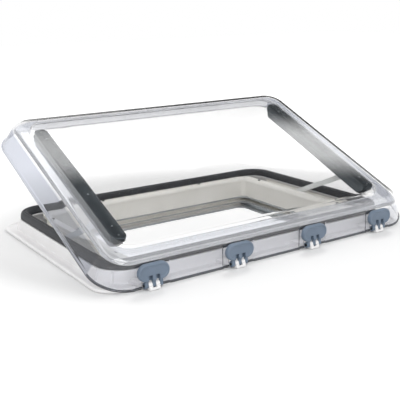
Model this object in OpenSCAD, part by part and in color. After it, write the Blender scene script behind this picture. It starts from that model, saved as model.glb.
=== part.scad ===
// Hinged roof vent for a caravan: a clear double-glazed dome on a white roof frame, lifted by two
// side arms from a hand crank, with a pleated blackout blind and a flyscreen in the inner frame.
// X runs along the long side, Y from the hinge side to the opening side, Z up.
// The origin is the centre of the roof cut-out on the outer roof surface. Millimetres.

/* [Opening] */
// Clear length of the inner opening
opening_x = 610; // [540:5:680]
// Clear width of the inner opening
opening_y = 432; // [380:4:480]
// Corner radius of the inner opening
opening_r = 14; // [8:1:24]
// Thickness of the roof that is clamped
roof_t = 34; // [26:1:40]

/* [Outer frame] */
// Thickness of the roof flange
base_t = 5; // [4:0.5:6]
// Height of the frame wall above the roof
wall_top = 30; // [28:1:34]
// Thickness of the frame wall
wall_t = 4; // [3:0.5:5]
// How far the frame wall leans inwards over its height
wall_lean = 4; // [2:0.5:8]
// Outer corner radius of the frame wall
wall_r = 66; // [60:1:80]
// Width of the flange outside the wall
ledge_w = 27; // [22:1:36]
// Width of the flange on the far side of the wall
far_ledge_w = 10; // [9:1:24]
// Width of the flange on the hinge side of the wall
hinge_ledge_w = 29; // [27:1:40]
// Width of the raised bead along the flange's edge
bead_w = 8; // [6:0.5:10]
// Height of the raised bead above the roof
bead_h = 8; // [7:0.5:9]

/* [Seal] */
// Width of the rubber seal on the frame wall
seal_w = 20; // [16:1:24]
// Height of the rubber seal
seal_h = 18; // [14:1:22]

/* [Liner] */
// Wall thickness of the inner liner
liner_t = 3; // [2:0.5:4]
// Depth of the liner's wall below the roof surface
liner_drop = 22; // [16:1:26]
// Height of the liner's lip above the roof surface
lip_top = 33; // [31:1:36]
// Rounding radius of the liner's lip
lip_r = 10; // [6:1:14]
// Flat width of the liner's lip
lip_flat = 10; // [8:1:16]

/* [Dome] */
// How far the dome's rim stands outside the flange at its ends
dome_over_end = 9; // [7:0.5:20]
// How far the dome's rim stands outside the flange on the far side
dome_over_far = 13.5; // [10:0.5:24]
// Height of the dome's rim above the roof when it is shut
rim_z = 4.5; // [3.5:0.5:6]
// Corner radius of the dome's rim
rim_r = 75; // [70:1:100]
// Height of the dome's skirt, from its rim to the start of its rounded edge
skirt_h = 41.5; // [38:0.5:48]
// How far the skirt leans inwards over its height
skirt_lean = 19.5; // [14:0.5:24]
// Rise of the dome's shoulder above the skirt
shoulder_h = 18.5; // [17:0.5:24]
// Width of the dome's shoulder, from the skirt to the flat top
shoulder_w = 26.5; // [22:0.5:32]
// Rise of the top's crown above its edge
crown = 5.5; // [3:0.5:10]
// Thickness of the outer pane
dome_t = 3.5; // [2.5:0.5:4]
// Thickness of the inner pane
pane_t = 2; // [1.5:0.5:3]
// Gap between the outer pane and the inner pane at the top
pane_gap = 1; // [1:0.5:2]
// How far the dome stands open
open_deg = 23; // [0:1:50]

/* [Hinges] */
// Distance between neighbouring hinges
hinge_pitch = 208; // [170:1:220]
// How far the row of hinges sits off the middle
hinge_shift = -4; // [-8:1:8]
// Distance of the hinge axis outside the flange's edge
hinge_out = 14.5; // [13:0.5:18]
// Height of the hinge axis above the roof
hinge_z = 10; // [9:0.5:12]
// Radius of the hinge pin
pin_r = 3; // [2:0.25:3.5]
// Wall of the hinge knuckles around the pin
knuckle_wall = 3.5; // [2.5:0.25:4]
// Width of one leg of the hinge cover
leg_w = 7.5; // [6:0.5:10]
// Width of one knuckle of the hinge base
finger_w = 8.4; // [7:0.2:11]
// Width of the hinge cover's cap
cap_w = 70; // [64:1:84]
// Height of the hinge cover's cap
cap_h = 36; // [30:1:38]
// Thickness of the hinge cover's cap
cap_t = 9; // [7:0.5:11]

/* [Rails and arms] */
// Width of the dome's stiffening rail
rail_w = 33; // [30:1:34]
// Distance of the rail's ends from the seal's inner edge
rail_end_gap = 28; // [26:1:40]
// Height of the dome's stiffening rail
rail_h = 30; // [26:1:31]
// Wall thickness of the rail
rail_t = 3; // [2:0.5:4]
// Distance of the rail's last screw from the one before
rail_screw_end = 30; // [20:1:32]
// Length of the lifting arm between its pivots
arm_len = 190; // [175:1:195]
// Width of the lifting arm
arm_w = 13; // [10:0.5:14]
// Thickness of the lifting arm
arm_t = 5; // [4:0.5:6]
// Height of the arm's upper pivot above the hinge axis when the dome is shut
pivot_rise = 12; // [9:0.5:13]
// Rise of the track line from the hinge axis, in degrees
track_deg = 1.4; // [1:0.1:1.5]
// Radius of the glide at the arm's lower end
glide_r = 6.5; // [5:0.5:7]
// Width of the channel between the liner's lip and the seal
channel_w = 38; // [37:0.5:44]

/* [Inner frame and blinds] */
// Height of the gallery in which each blind runs
gallery_h = 12; // [11:0.5:13]
// Depth of the galleries at the frame's short ends
gallery_end = 30; // [28:1:36]
// Depth of the galleries at the frame's long sides
gallery_side = 13; // [11:1:18]
// Thickness of the inner frame's plates and walls
shell_t = 3; // [2:0.5:4]
// Width of a blind's end bar
bar_w = 20; // [16:1:21]
// Number of folds in a parked blind
folds = 6; // [4:1:8]
// Width of the ceiling trim around the cut-out
trim_w = 87; // [80:1:100]
// Thickness of the ceiling trim
trim_t = 4; // [3:0.5:5]
// Gap between the inner frame and the cut-out at the short ends
end_gap = 12; // [11:0.5:16]
// Gap between the inner frame and the cut-out on the hinge side
crank_gap = 30; // [28:1:36]
// Gap between the inner frame and the cut-out on the far side
far_gap = 6; // [4:1:10]

/* [Crank] */
// Radius of the crank's shaft
shaft_r = 5; // [4:0.5:6]
// Length of the crank's arm
crank_len = 62; // [50:1:75]
// Length of the crank's knob
knob_len = 24; // [18:1:30]
// Number of teeth of the drive pinion
pinion_n = 12; // [10:1:14]
// Radius of a drive cable
cable_r = 2.5; // [2:0.25:3]

/* [Fasteners] */
// Radius of a clamp screw
clamp_screw_r = 2.5; // [2:0.25:3]
// Radius of a frame screw
frame_screw_r = 2; // [1.5:0.25:2.5]
// Radius of a rail screw
rail_screw_r = 2; // [1.5:0.25:2.5]
// Radius of the holes for the ceiling screws
ceiling_hole_r = 2.25; // [2:0.25:3]

/* [Clearances] */
// Gap between parts that lie against each other
gap = 0.3; // [0.2:0.05:0.4]
// Radial gap of a pin in its bore
pin_gap = 0.05; // [0.02:0.01:0.1]

/* [Hidden] */
$fn = 48;

// Colours as the photograph shows them
frame_white = "#F0EEEE";
liner_cream = "#CBCAC4";
rubber_dark = "#44474D";
rail_anthracite = "#3B4144";
cap_blue_grey = "#6E7D8C";
arm_grey = "#DADDDD";
clear_pane = [0.86, 0.88, 0.92, 0.45];
steel = "#A9ADB0";
black = "#1C1D1F";
bar_grey = "#8C9297";
grip_grey = "#70767B";
blind_cloth = "#B9B7B1";
screen_mesh = "#3A3B3D";

// Rings of the frame, from the opening outwards: half lengths along X and Y about ring_cy
ring_cy = (crank_gap - far_gap) / 2;
liner_x = opening_x / 2;
liner_y = opening_y / 2;
lip_out = lip_r + lip_flat + liner_t;
lip_return = 8;
seal_in_x = liner_x + lip_out + channel_w;
seal_in_y = liner_y + lip_out;
seal_x = seal_in_x + seal_w;
seal_y = seal_in_y + seal_w;
seat_rim = 2;
wall_x = seal_x + seat_rim + wall_lean;
wall_y = seal_y + seat_rim + wall_lean;
seal_r = wall_r - seat_rim - wall_lean;
seat_t = 3;
rib_w = 8;
rib_out = 2.5;
rib_angles = [12, 45];

// Flange: its two edges along Y, its half sizes and its centre
flange_near = ring_cy - wall_y - hinge_ledge_w;
flange_far = ring_cy + wall_y + far_ledge_w;
flange_cy = (flange_near + flange_far) / 2;
flange_x = wall_x + ledge_w;
flange_y = (flange_far - flange_near) / 2;
flange_r = 52;
base_in = liner_t + gap;
bead_round = 3;
gasket_w = 6;
gasket_h = 1.5;
gasket_in = 6;
gasket_x = flange_x - gasket_in - gasket_w;
gasket_y = flange_y - gasket_in - gasket_w;
gasket_r = flange_r - gasket_in;

// Dome: the hinge axis lies just inside its near rim
hinge_n = 4;
hinge_y = flange_near - hinge_out;
rim_past_axis = 4;
dome_near = hinge_y - rim_past_axis;
dome_far = flange_far + dome_over_far;
dome_cy = (dome_near + dome_far) / 2;
dome_x = flange_x + dome_over_end;
dome_y = (dome_far - dome_near) / 2;
lip_band = 3.5;
lip_step = 4;
skirt_z0 = rim_z + lip_band + 1;
skirt_z1 = rim_z + skirt_h;
top_z = skirt_z1 + shoulder_h;
top_inset = skirt_lean + shoulder_w;
skirt_deg = atan((skirt_lean - lip_step) / (skirt_z1 - skirt_z0));
knuckle_r = pin_r + knuckle_wall;
pane_edge_z = wall_top + seal_h + 0.5;
pane_top_z = top_z - dome_t - pane_gap;
pane_edge_gap = 3.2;
// The skirt's outer face lies this far inside the hinge axis, square to the skirt
skirt_off = (lip_step - rim_past_axis + (hinge_z - skirt_z0) * tan(skirt_deg)) * cos(skirt_deg);

// The three legs of a hinge cover stand outside and between the two knuckles of its base
leg_pitch = leg_w + finger_w + 2 * gap;
pin_half = 1.5 * leg_w + finger_w + 2 * gap + 1;
cap_rim = 5;
cap_dish = 1.5;
cap_back = 3;
slot_h = 12;
leg_set = 0.8;
sole_lift = 0.6;
sole_t = hinge_z - knuckle_r - 2 * gap - sole_lift;
foot_w = cap_w - 10;
foot_t = 5;
// Notch in the dome's near skirt around each hinge
notch_w = 2 * pin_half + 6;
notch_d = 22;
notch_top = hinge_z + knuckle_r + 3.5;

// Channel for the rail and the arm on each side
channel_x = liner_x + lip_out + channel_w / 2;
rail_cy = ring_cy - 6;
rail_half = seal_in_y - rail_end_gap;
rail_screw_head = rail_screw_r * 1.8;
rail_screw_last = rail_half - 11.5;
rail_screw_pitch = (rail_screw_last - rail_screw_end) / 1.5;
rail_screw_y = [
  for (k = [-1.5:1:1.5]) k * rail_screw_pitch,
  for (s = [-1, 1]) s * rail_screw_last
];
rail_top = pane_top_z - pane_t - gap;
rail_bottom = rail_top - rail_h;
track_wall = 2;
track_w = channel_w - 2 * gap;
track_bottom = base_t + gap;
track_top = rail_bottom - 2.5;
pivot_y = hinge_y + sqrt(arm_len * arm_len - pivot_rise * pivot_rise);
pivot_z = hinge_z + pivot_rise;
pivot_deg = asin(pivot_rise / arm_len);
// The arm and the stretch from the hinge axis to its pivot are equally long, so the arm turns
// twice as fast as the dome and its lower end stays on the track line through the hinge axis
arm_deg = -(2 * open_deg + pivot_deg - 2 * track_deg);
arm_pin_r = 3;
eye_r = 8;
bracket_t = 4;
bracket_w = 26;
bracket_foot = 8;
glide_w = 8;
glide_y_shut = hinge_y + 2 * arm_len * cos(pivot_deg - track_deg);
track_y0 = glide_y_shut - arm_len - 35;
track_y1 = glide_y_shut + glide_r + 105;
// Height of the runner on which the glide slides
function runner_z(y) = hinge_z + (y - hinge_y) * tan(track_deg) - glide_r - gap;

// Inner frame: two galleries, the flyscreen's above the blackout blind's
inner_top = -liner_drop - gap;
upper_z1 = inner_top - shell_t;
upper_z0 = upper_z1 - gallery_h;
mid_t = 1.5;
gallery_r = 1;
lower_z1 = upper_z0 - mid_t;
lower_z0 = lower_z1 - gallery_h;
inner_x = liner_x + gallery_end + shell_t;
inner_y = liner_y + gallery_side + shell_t;
trim_z1 = lower_z0 - gap;
trim_z0 = trim_z1 - trim_t;
cutout_x = 2 * (inner_x + end_gap);
cutout_y = 2 * inner_y + crank_gap + far_gap;
bar_z_gap = 0.5;
bar_end_gap = 0.6;
bar_front = liner_x - 2;
fold_gap = 0.4;
grip_out = 7;
grip_len = 80;
grip_h = 6;

// Crank: the shaft runs down the gap on the hinge side of the inner frame
crank_y = ring_cy - inner_y - shaft_r - 3.5;
gearbox_x = 35;
gearbox_y0 = ring_cy - wall_y + wall_t + wall_lean + 1;
gearbox_y1 = crank_y + (crank_y - gearbox_y0);
gearbox_z0 = base_t + gap;
gearbox_z1 = min(track_top, wall_top - seat_t - 1, lip_top - lip_return - 1);
gearbox_t = 2;
pinion_r = 9;
pinion_z0 = gearbox_z0 + gearbox_t + 2;
pinion_h = 9;
cable_z = gearbox_z0 + 8;
cable_bend = 30;
sleeve_t = 0.8;
crank_top = trim_z0 - 2;
crank_h = 14;
hub_depth = 8;
hub_r = 11;
crank_w = 14;
crank_arm_h = 8;
crank_arm_z = 3;
knob_r = 9;
knob_pin_r = 4;
shaft_gap = 1;
tooth_w = 2;
tooth_h = 2;

// Clamps under the ceiling, and the screws that draw them up to the frame
clamp_z1 = -roof_t - gap;
clamp_t = 4;
clamp_w = 30;
clamp_reach = 24;
clamp_end_y = [for (k = [-1:1]) ring_cy + k * 0.65 * inner_y];
clamp_near_x = [for (s = [-1, 1]) s * 0.53 * inner_x];
clamp_screw_x = cutout_x / 2 - end_gap / 2;
clamp_screw_y = -cutout_y / 2 + crank_gap / 2;
boss_r = 5;
boss_drop = 12;
frame_boss_r = 4.5;
frame_screw_in = liner_t + (lip_out - liner_t) / 2;
frame_screw_xy = [
  for (sx = [-1, 1], sy = [-1, 1])
    [sx * (liner_x + frame_screw_in), ring_cy + sy * 0.74 * liner_y],
  for (sx = [-1, 1], sy = [-1, 1])
    [sx * 0.5 * liner_x, ring_cy + sy * (liner_y + frame_screw_in)]
];
ceiling_hole_x = liner_x + trim_w - 22;
ceiling_hole_y = liner_y + trim_w - 53;

// Points of an arc, by centre, radius and the two angles
function arc(c, r, a0, a1, n) =
  [for (i = [0:n]) let (a = a0 + (a1 - a0) * i / n) [c[0] + r * cos(a), c[1] + r * sin(a)]];

// Points on a curve from b to d that leaves and arrives along the lines to c
function bend(b, c, d, n) =
  [for (i = [1:n]) let (t = i / n) (1 - t) * (1 - t) * b + 2 * t * (1 - t) * c + t * t * d];

// Rounded rectangle as a flat shape, by its half sizes, its corner radius and its centre along Y
module plate2d(hx, hy, r, cy = 0) {
  translate([0, cy]) {
    square([2 * (hx - r), 2 * hy], center = true);
    square([2 * hx, 2 * (hy - r)], center = true);
    for (sx = [-1, 1], sy = [-1, 1]) translate([sx * (hx - r), sy * (hy - r)]) circle(r);
  }
}

// Flat ring between two rounded rectangles
module ring_plate(z0, z1, hx, hy, r, ix, iy, ir, cy, icy) {
  translate([0, 0, z0]) linear_extrude(z1 - z0) difference() {
    plate2d(hx, hy, r, cy);
    plate2d(ix, iy, ir, icy);
  }
}

// A profile carried round a rounded rectangle: its x is the distance outwards, its y the height
module sweep_ring(hx, hy, r, cy) {
  translate([0, cy, 0]) {
    for (s = [-1, 1]) {
      translate([s * hx, 0, 0]) rotate([90, 0, s > 0 ? 0 : 180])
        linear_extrude(2 * (hy - r), center = true) children();
      translate([0, s * hy, 0]) rotate([90, 0, s * 90])
        linear_extrude(2 * (hx - r), center = true) children();
    }
    for (q = [0:3]) let (sx = (q == 0 || q == 3) ? 1 : -1, sy = q < 2 ? 1 : -1)
      translate([sx * (hx - r), sy * (hy - r), 0]) rotate([0, 0, 90 * q])
        rotate_extrude(angle = 90) translate([r, 0]) children();
  }
}

// Shell lofted through rings of [half x, half y, radius, z, centre y], from its outer rim
// over the top and back along its inner face
corner_n = 8;
function ring_points(g) = [
  for (q = [0:3], i = [0:corner_n])
    let (a = 90 * q + 90 * i / corner_n, sx = (q == 0 || q == 3) ? 1 : -1, sy = q < 2 ? 1 : -1)
    [sx * (g[0] - g[2]) + g[2] * cos(a), g[4] + sy * (g[1] - g[2]) + g[2] * sin(a), g[3]]
];
module loft_shell(outer, inner) {
  n = 4 * (corner_n + 1);
  m = len(outer);
  k = len(inner);
  pts = [for (g = outer) each ring_points(g), for (g = inner) each ring_points(g)];
  function band(a, b) = [
    for (i = [0:n - 1]) let (j = (i + 1) % n)
      each [[a + i, b + i, b + j], [a + i, b + j, a + j]]
  ];
  polyhedron(pts, concat(
    [for (r = [0:m - 2]) each band(r * n, (r + 1) * n)],
    [for (r = [0:k - 2]) each band((m + r + 1) * n, (m + r) * n)],
    band(m * n, 0),
    [[for (i = [n - 1:-1:0]) (m - 1) * n + i]],
    [[for (i = [0:n - 1]) (m + k - 1) * n + i]]
  ), convexity = 8);
}

// A ring of the dome, drawn in from the rim, and a ring of its crowned top
function dome_ring(p) = [dome_x - p[0], dome_y - p[0], max(rim_r - p[0], 18), p[1], dome_cy];
function crown_ring(g, s, rise) =
  [g[0] * s, g[1] * s, g[2] * s, g[3] + rise * (1 - s * s), g[4]];
crown_steps = [0.85, 0.65, 0.45, 0.25];

// Dome parts are drawn shut and turned open about the hinge axis
module opened() {
  translate([0, hinge_y, hinge_z]) rotate([open_deg, 0, 0]) translate([0, -hinge_y, -hinge_z])
    children();
}

function hinge_x(i) = hinge_shift + (i - (hinge_n + 1) / 2) * hinge_pitch;

module screw(r, head_r, head_h, length) {
  cylinder(r = head_r, h = head_h);
  translate([0, 0, -length]) cylinder(r = r, h = length + head_h / 2);
}

// Fine cuts at the four corners of the opening, where the mitred lengths of a ring meet
module mitre_cuts(ring_w, z0, z1) for (sx = [-1, 1], sy = [-1, 1])
  translate([sx * (liner_x - opening_r), ring_cy + sy * (liner_y - opening_r), z0 - 1])
    rotate([0, 0, sy * (sx > 0 ? 45 : 135)]) translate([0, -gap / 2, 0])
      cube([2 * (opening_r + ring_w), gap, z1 - z0 + 2]);

module outer_frame() color(frame_white) difference() {
  union() {
    ring_plate(0, base_t, flange_x, flange_y, flange_r, liner_x + base_in, liner_y + base_in,
               opening_r + base_in, flange_cy, ring_cy);
    sweep_ring(flange_x, flange_y, flange_r, flange_cy)
      polygon(concat([[0, 0], [0, bead_h - bead_round]],
                     arc([-bead_round, bead_h - bead_round], bead_round, 15, 90, 5),
                     [[-bead_w + 1, bead_h], [-bead_w, base_t], [-bead_w, 0]]));
    sweep_ring(wall_x, wall_y, wall_r, ring_cy)
      polygon([[0, 0], [0, base_t + 1], [-wall_lean, wall_top],
               [-wall_lean - seat_rim - seal_w, wall_top],
               [-wall_lean - seat_rim - seal_w, wall_top - seat_t],
               [-wall_lean - wall_t, wall_top - seat_t], [-wall_t, base_t], [-wall_t, 0]]);
    for (sx = [0, 1], sy = [0, 1], a = rib_angles) mirror([sx, 0, 0]) translate([0, ring_cy, 0])
      mirror([0, sy, 0]) translate([wall_x - wall_r, wall_y - wall_r, 0]) rotate([90, 0, a])
        linear_extrude(rib_w, center = true)
          polygon([[wall_r - wall_t / 2, base_t - 1], [wall_r + rib_out, base_t - 1],
                   [wall_r - wall_lean + rib_out / 2, wall_top - seat_t / 2],
                   [wall_r - wall_lean - wall_t / 2, wall_top - seat_t / 2]]);
    for (p = frame_screw_xy) translate([p[0], p[1], 0])
      cylinder(r = frame_boss_r, h = lip_top - liner_t - gap);
    for (y = clamp_end_y, s = [-1, 1]) translate([s * clamp_screw_x, y, -boss_drop])
      cylinder(r = boss_r, h = boss_drop + base_t);
    for (x = clamp_near_x) translate([x, clamp_screw_y, -boss_drop])
      cylinder(r = boss_r, h = boss_drop + base_t);
  }
  for (p = frame_screw_xy) translate([p[0], p[1], base_t + 2])
    cylinder(r = frame_screw_r + pin_gap, h = lip_top);
  for (y = clamp_end_y, s = [-1, 1]) translate([s * clamp_screw_x, y, -boss_drop - 1])
    cylinder(r = clamp_screw_r + pin_gap, h = boss_drop + base_t - 1);
  for (x = clamp_near_x) translate([x, clamp_screw_y, -boss_drop - 1])
    cylinder(r = clamp_screw_r + pin_gap, h = boss_drop + base_t - 1);
  translate([0, crank_y, -1]) cylinder(r = shaft_r + shaft_gap, h = base_t + 2);
  // Groove for the gasket under the flange
  ring_plate(-1, gasket_h, gasket_x + gasket_w, gasket_y + gasket_w, gasket_r, gasket_x,
             gasket_y, gasket_r - gasket_w, flange_cy, flange_cy);
}

module roof_gasket() color(black)
  ring_plate(0, gasket_h - gap / 2, gasket_x + gasket_w - gap, gasket_y + gasket_w - gap,
             gasket_r - gap, gasket_x + gap, gasket_y + gap, gasket_r - gasket_w + gap,
             flange_cy, flange_cy);

module rim_seal() color(rubber_dark) translate([0, 0, wall_top])
  sweep_ring(seal_x, seal_y, seal_r, ring_cy)
    polygon([[0, 0], [0, seal_h * 0.55], [-seal_w * 0.1, seal_h * 0.83], [-seal_w * 0.3, seal_h],
             [-seal_w * 0.5, seal_h * 0.9], [-seal_w * 0.7, seal_h], [-seal_w * 0.9, seal_h * 0.83],
             [-seal_w, seal_h * 0.45], [-seal_w, 0]]);

module inner_liner() color(liner_cream) difference() {
  sweep_ring(liner_x, liner_y, opening_r, ring_cy)
    polygon(concat([[0, -liner_drop]], arc([lip_r, lip_top - lip_r], lip_r, 180, 90, 8),
                   [[lip_out, lip_top], [lip_out, lip_top - lip_return],
                    [lip_out - liner_t, lip_top - lip_return],
                    [lip_out - liner_t, lip_top - liner_t]],
                   arc([lip_r, lip_top - lip_r], lip_r - liner_t, 90, 180, 8),
                   [[liner_t, -liner_drop]]));
  for (p = frame_screw_xy) translate([p[0], p[1], lip_top - liner_t - 1])
    cylinder(r = frame_screw_r + pin_gap, h = liner_t + 2);
  mitre_cuts(lip_out, -liner_drop, lip_top);
}

module frame_screws() color(black) for (p = frame_screw_xy) translate([p[0], p[1], lip_top])
  screw(frame_screw_r, frame_screw_r * 2, 2, lip_top - base_t - 4);

// Track beside the liner: an open channel with a rising runner for the arm's glide
module arm_track(side) color(liner_cream) mirror([side > 0 ? 0 : 1, 0, 0])
  translate([channel_x, 0, 0]) {
    translate([0, track_y1, 0]) rotate([90, 0, 0]) linear_extrude(track_y1 - track_y0) difference() {
      translate([-track_w / 2, track_bottom]) square([track_w, track_top - track_bottom]);
      translate([-track_w / 2 + track_wall, track_bottom + track_wall])
        square([track_w - 2 * track_wall, track_top]);
    }
    runner_x = arm_t / 2 + 2 * gap;
    translate([runner_x, 0, 0]) rotate([90, 0, 90])
      linear_extrude(track_w / 2 - track_wall / 2 - runner_x)
        polygon([[track_y0, track_bottom + track_wall / 2], [track_y1, track_bottom + track_wall / 2],
                 [track_y1, runner_z(track_y1)], [track_y0, runner_z(track_y0)]]);
  }
module left_arm_track() arm_track(-1);
module right_arm_track() arm_track(1);

module inner_frame() color(liner_cream) difference() {
  ring_plate(lower_z0, inner_top, inner_x, inner_y, opening_r, liner_x, liner_y, opening_r,
             ring_cy, ring_cy);
  for (z = [upper_z0, lower_z0 - 1]) translate([0, 0, z])
    linear_extrude(z == upper_z0 ? gallery_h : gallery_h + 1)
      plate2d(inner_x - shell_t, inner_y - shell_t, gallery_r, ring_cy);
}

module ceiling_trim() color(frame_white) difference() {
  sweep_ring(liner_x, liner_y, opening_r, ring_cy)
    polygon([[0, trim_z0], [0, trim_z1], [trim_w - 3, trim_z1], [trim_w - 3, clamp_z1],
             [trim_w, clamp_z1], [trim_w, trim_z0 + 3], [trim_w - 3, trim_z0]]);
  translate([0, crank_y, trim_z0 - 1]) cylinder(r = shaft_r + shaft_gap, h = trim_t + 2);
  for (sx = [-1, 1], sy = [-1, 1])
    translate([sx * ceiling_hole_x, ring_cy + sy * ceiling_hole_y, trim_z0 - 1])
      cylinder(r = ceiling_hole_r, h = trim_t + 2);
  mitre_cuts(trim_w, trim_z0, clamp_z1);
}

// One clamp plate, with its screw at the origin and its toe towards +X
module clamp_plate() translate([0, 0, clamp_z1 - clamp_t]) difference() {
  translate([-boss_r, -clamp_w / 2, 0]) cube([boss_r + clamp_reach, clamp_w, clamp_t]);
  translate([0, 0, -1]) cylinder(r = clamp_screw_r + 0.2, h = clamp_t + 2);
}
module at_clamps() {
  for (y = clamp_end_y) {
    translate([clamp_screw_x, y, 0]) children();
    translate([-clamp_screw_x, y, 0]) rotate([0, 0, 180]) children();
  }
  for (x = clamp_near_x) translate([x, clamp_screw_y, 0]) rotate([0, 0, -90]) children();
}
module roof_clamps() color(steel) at_clamps() clamp_plate();
module clamp_screws() color(steel) at_clamps() translate([0, 0, clamp_z1 - clamp_t - gap])
  mirror([0, 0, 1]) screw(clamp_screw_r, clamp_screw_r * 1.8, 3, roof_t + clamp_t + base_t - 6);

// Hinge base on the flange: two knuckles, joined by a sole, on a foot that reaches to the frame wall
module hinge_base(i) color(frame_white) translate([hinge_x(i), hinge_y, hinge_z]) difference() {
  foot_y = knuckle_r + 1.5;
  back_y = hinge_out + hinge_ledge_w - gap;
  half = leg_w / 2 + gap;
  union() {
    for (s = [-1, 1]) translate([s > 0 ? half : -half - finger_w, 0, 0]) {
      rotate([0, 90, 0]) cylinder(r = knuckle_r, h = finger_w);
      translate([0, -knuckle_r, sole_lift - hinge_z])
        cube([finger_w, 2 * knuckle_r, hinge_z - sole_lift]);
      translate([0, 0, -knuckle_r + 2]) cube([finger_w, foot_y + 1, 2 * knuckle_r - 4]);
    }
    translate([-half - 1, -knuckle_r, sole_lift - hinge_z])
      cube([2 * half + 2, 2 * knuckle_r, sole_t]);
    translate([-foot_w / 2, foot_y, bead_h + gap - hinge_z])
      cube([foot_w, back_y - foot_y, foot_t]);
    translate([-foot_w / 2, hinge_out + bead_w + gap, base_t + gap - hinge_z])
      cube([foot_w, back_y - hinge_out - bead_w - gap, bead_h - base_t + 1]);
  }
  translate([-cap_w / 2, 0, 0]) rotate([0, 90, 0]) cylinder(r = pin_r + pin_gap, h = cap_w);
}
module hinge_base_1() hinge_base(1);
module hinge_base_2() hinge_base(2);
module hinge_base_3() hinge_base(3);
module hinge_base_4() hinge_base(4);

module hinge_pin(i) color(black) translate([hinge_x(i) - pin_half, hinge_y, hinge_z])
  rotate([0, 90, 0]) cylinder(r = pin_r, h = 2 * pin_half);
module hinge_pin_1() hinge_pin(1);
module hinge_pin_2() hinge_pin(2);
module hinge_pin_3() hinge_pin(3);
module hinge_pin_4() hinge_pin(4);

// Stadium-shaped flat outline of the hinge cover's cap
module stadium2d(w, h) {
  square([w - h, h], center = true);
  for (s = [-1, 1]) translate([s * (w - h) / 2, 0]) circle(h / 2);
}

// Hinge cover on the dome's near skirt: a dished cap, slotted below, and three legs around the pin
module hinge_cover(i) color(cap_blue_grey) opened()
  translate([hinge_x(i), hinge_y, hinge_z]) rotate([-skirt_deg, 0, 0]) difference() {
    back = skirt_off - gap;
    cap_z = knuckle_r + 2.5 + cap_h / 2;
    neck = knuckle_r - 0.7;
    union() {
      translate([0, back, cap_z]) rotate([90, 0, 0]) linear_extrude(cap_t) stadium2d(cap_w, cap_h);
      for (k = [-1:1]) translate([k * leg_pitch - leg_w / 2, 0, 0]) {
        rotate([0, 90, 0]) cylinder(r = knuckle_r, h = leg_w);
        translate([0, -neck, 0]) cube([leg_w, neck + back - leg_set, cap_z]);
      }
    }
    translate([0, back - cap_t + cap_dish, cap_z]) rotate([90, 0, 0]) linear_extrude(cap_t)
      stadium2d(cap_w - 2 * cap_rim, cap_h - 2 * cap_rim);
    for (s = [-1, 1]) translate([(s * leg_pitch - finger_w) / 2, back - cap_t - 1, 0])
      cube([finger_w, cap_t + 1 - cap_back, cap_z - cap_h / 2 + slot_h]);
    translate([-cap_w / 2, 0, 0]) rotate([0, 90, 0]) cylinder(r = pin_r + pin_gap, h = cap_w);
  }
module hinge_cover_1() hinge_cover(1);
module hinge_cover_2() hinge_cover(2);
module hinge_cover_3() hinge_cover(3);
module hinge_cover_4() hinge_cover(4);

// Outer pane: a flared lip, a leaning skirt, a rounded shoulder and a crowned top
module outer_dome() color(clear_pane) opened() difference() {
  slope = tan(skirt_deg);
  b = [skirt_lean, skirt_z1];
  c = [skirt_lean + (shoulder_h - 2.5) * slope, top_z - 2.5];
  d = [top_inset, top_z];
  t = dome_t / cos(skirt_deg);
  bi = [b[0] + t, b[1] - dome_t * 0.4];
  ci = [c[0] + t, c[1] - dome_t];
  di = [d[0] + dome_t * 0.3, d[1] - dome_t];
  outer = [for (p = concat([[0, rim_z], [0, rim_z + lip_band], [lip_step, skirt_z0], b],
                           bend(b, c, d, 5))) dome_ring(p)];
  inner = [for (p = concat([[t, rim_z], [lip_step + t, skirt_z0], bi], bend(bi, ci, di, 5)))
             dome_ring(p)];
  loft_shell(concat(outer, [for (s = crown_steps) crown_ring(outer[len(outer) - 1], s, crown)]),
             concat(inner, [for (s = crown_steps) crown_ring(inner[len(inner) - 1], s, crown)]));
  for (i = [1:hinge_n]) translate([hinge_x(i) - notch_w / 2, dome_near - 1, rim_z - 1])
    cube([notch_w, notch_d, notch_top - rim_z + 1]);
}

// Inner pane: a flange that shuts on the seal and a raised field that carries the rails
module inner_pane() color(clear_pane) opened() {
  z0 = pane_edge_z;
  z1 = pane_top_z;
  field = -pane_t;
  edge_in = skirt_lean + (pane_edge_z - skirt_z1 + pane_t) * tan(skirt_deg) + dome_t
            + pane_edge_gap;
  edge = function (z) [dome_x - edge_in, dome_y - edge_in, rim_r - edge_in, z, dome_cy];
  step = function (in, z) [seal_in_x - in, seal_in_y - in, seal_r - seal_w - in, z, ring_cy];
  outer = [edge(z0 + pane_t), step(field - pane_t, z0 + pane_t), step(field, z1)];
  inner = [edge(z0), step(field, z0), step(field + pane_t, z1 - pane_t)];
  loft_shell(concat(outer, [for (s = crown_steps) crown_ring(outer[2], s, crown - 1)]),
             concat(inner, [for (s = crown_steps) crown_ring(inner[2], s, crown - 1)]));
}

// Rail under the inner pane: an open channel with slanted ends and rounded corners
module rail(side) color(rail_anthracite) opened() translate([side * channel_x, rail_cy, 0])
  difference() {
    half = rail_half;
    slant = 12;
    intersection() {
      translate([-rail_w / 2, 0, 0]) rotate([90, 0, 90]) linear_extrude(rail_w)
        polygon([[-half, rail_top], [half, rail_top], [half, rail_top - slant],
                 [half - slant, rail_bottom], [-half + slant, rail_bottom],
                 [-half, rail_top - slant]]);
      translate([0, 0, rail_bottom - 1]) linear_extrude(rail_h + 2) plate2d(rail_w / 2, half, slant);
    }
    end = slant + 2 * rail_t;
    translate([-rail_w / 2 + rail_t, -half + end, rail_bottom - 1])
      cube([rail_w - 2 * rail_t, 2 * (half - end), rail_h + 1 - rail_t]);
    for (y = rail_screw_y) {
      translate([0, y, rail_top - rail_t - 1]) cylinder(r = rail_screw_r + pin_gap, h = rail_t + 2);
      translate([0, y, rail_bottom - 1])
        cylinder(r = rail_screw_head + gap, h = rail_h + 1 - rail_t);
    }
  }
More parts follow.
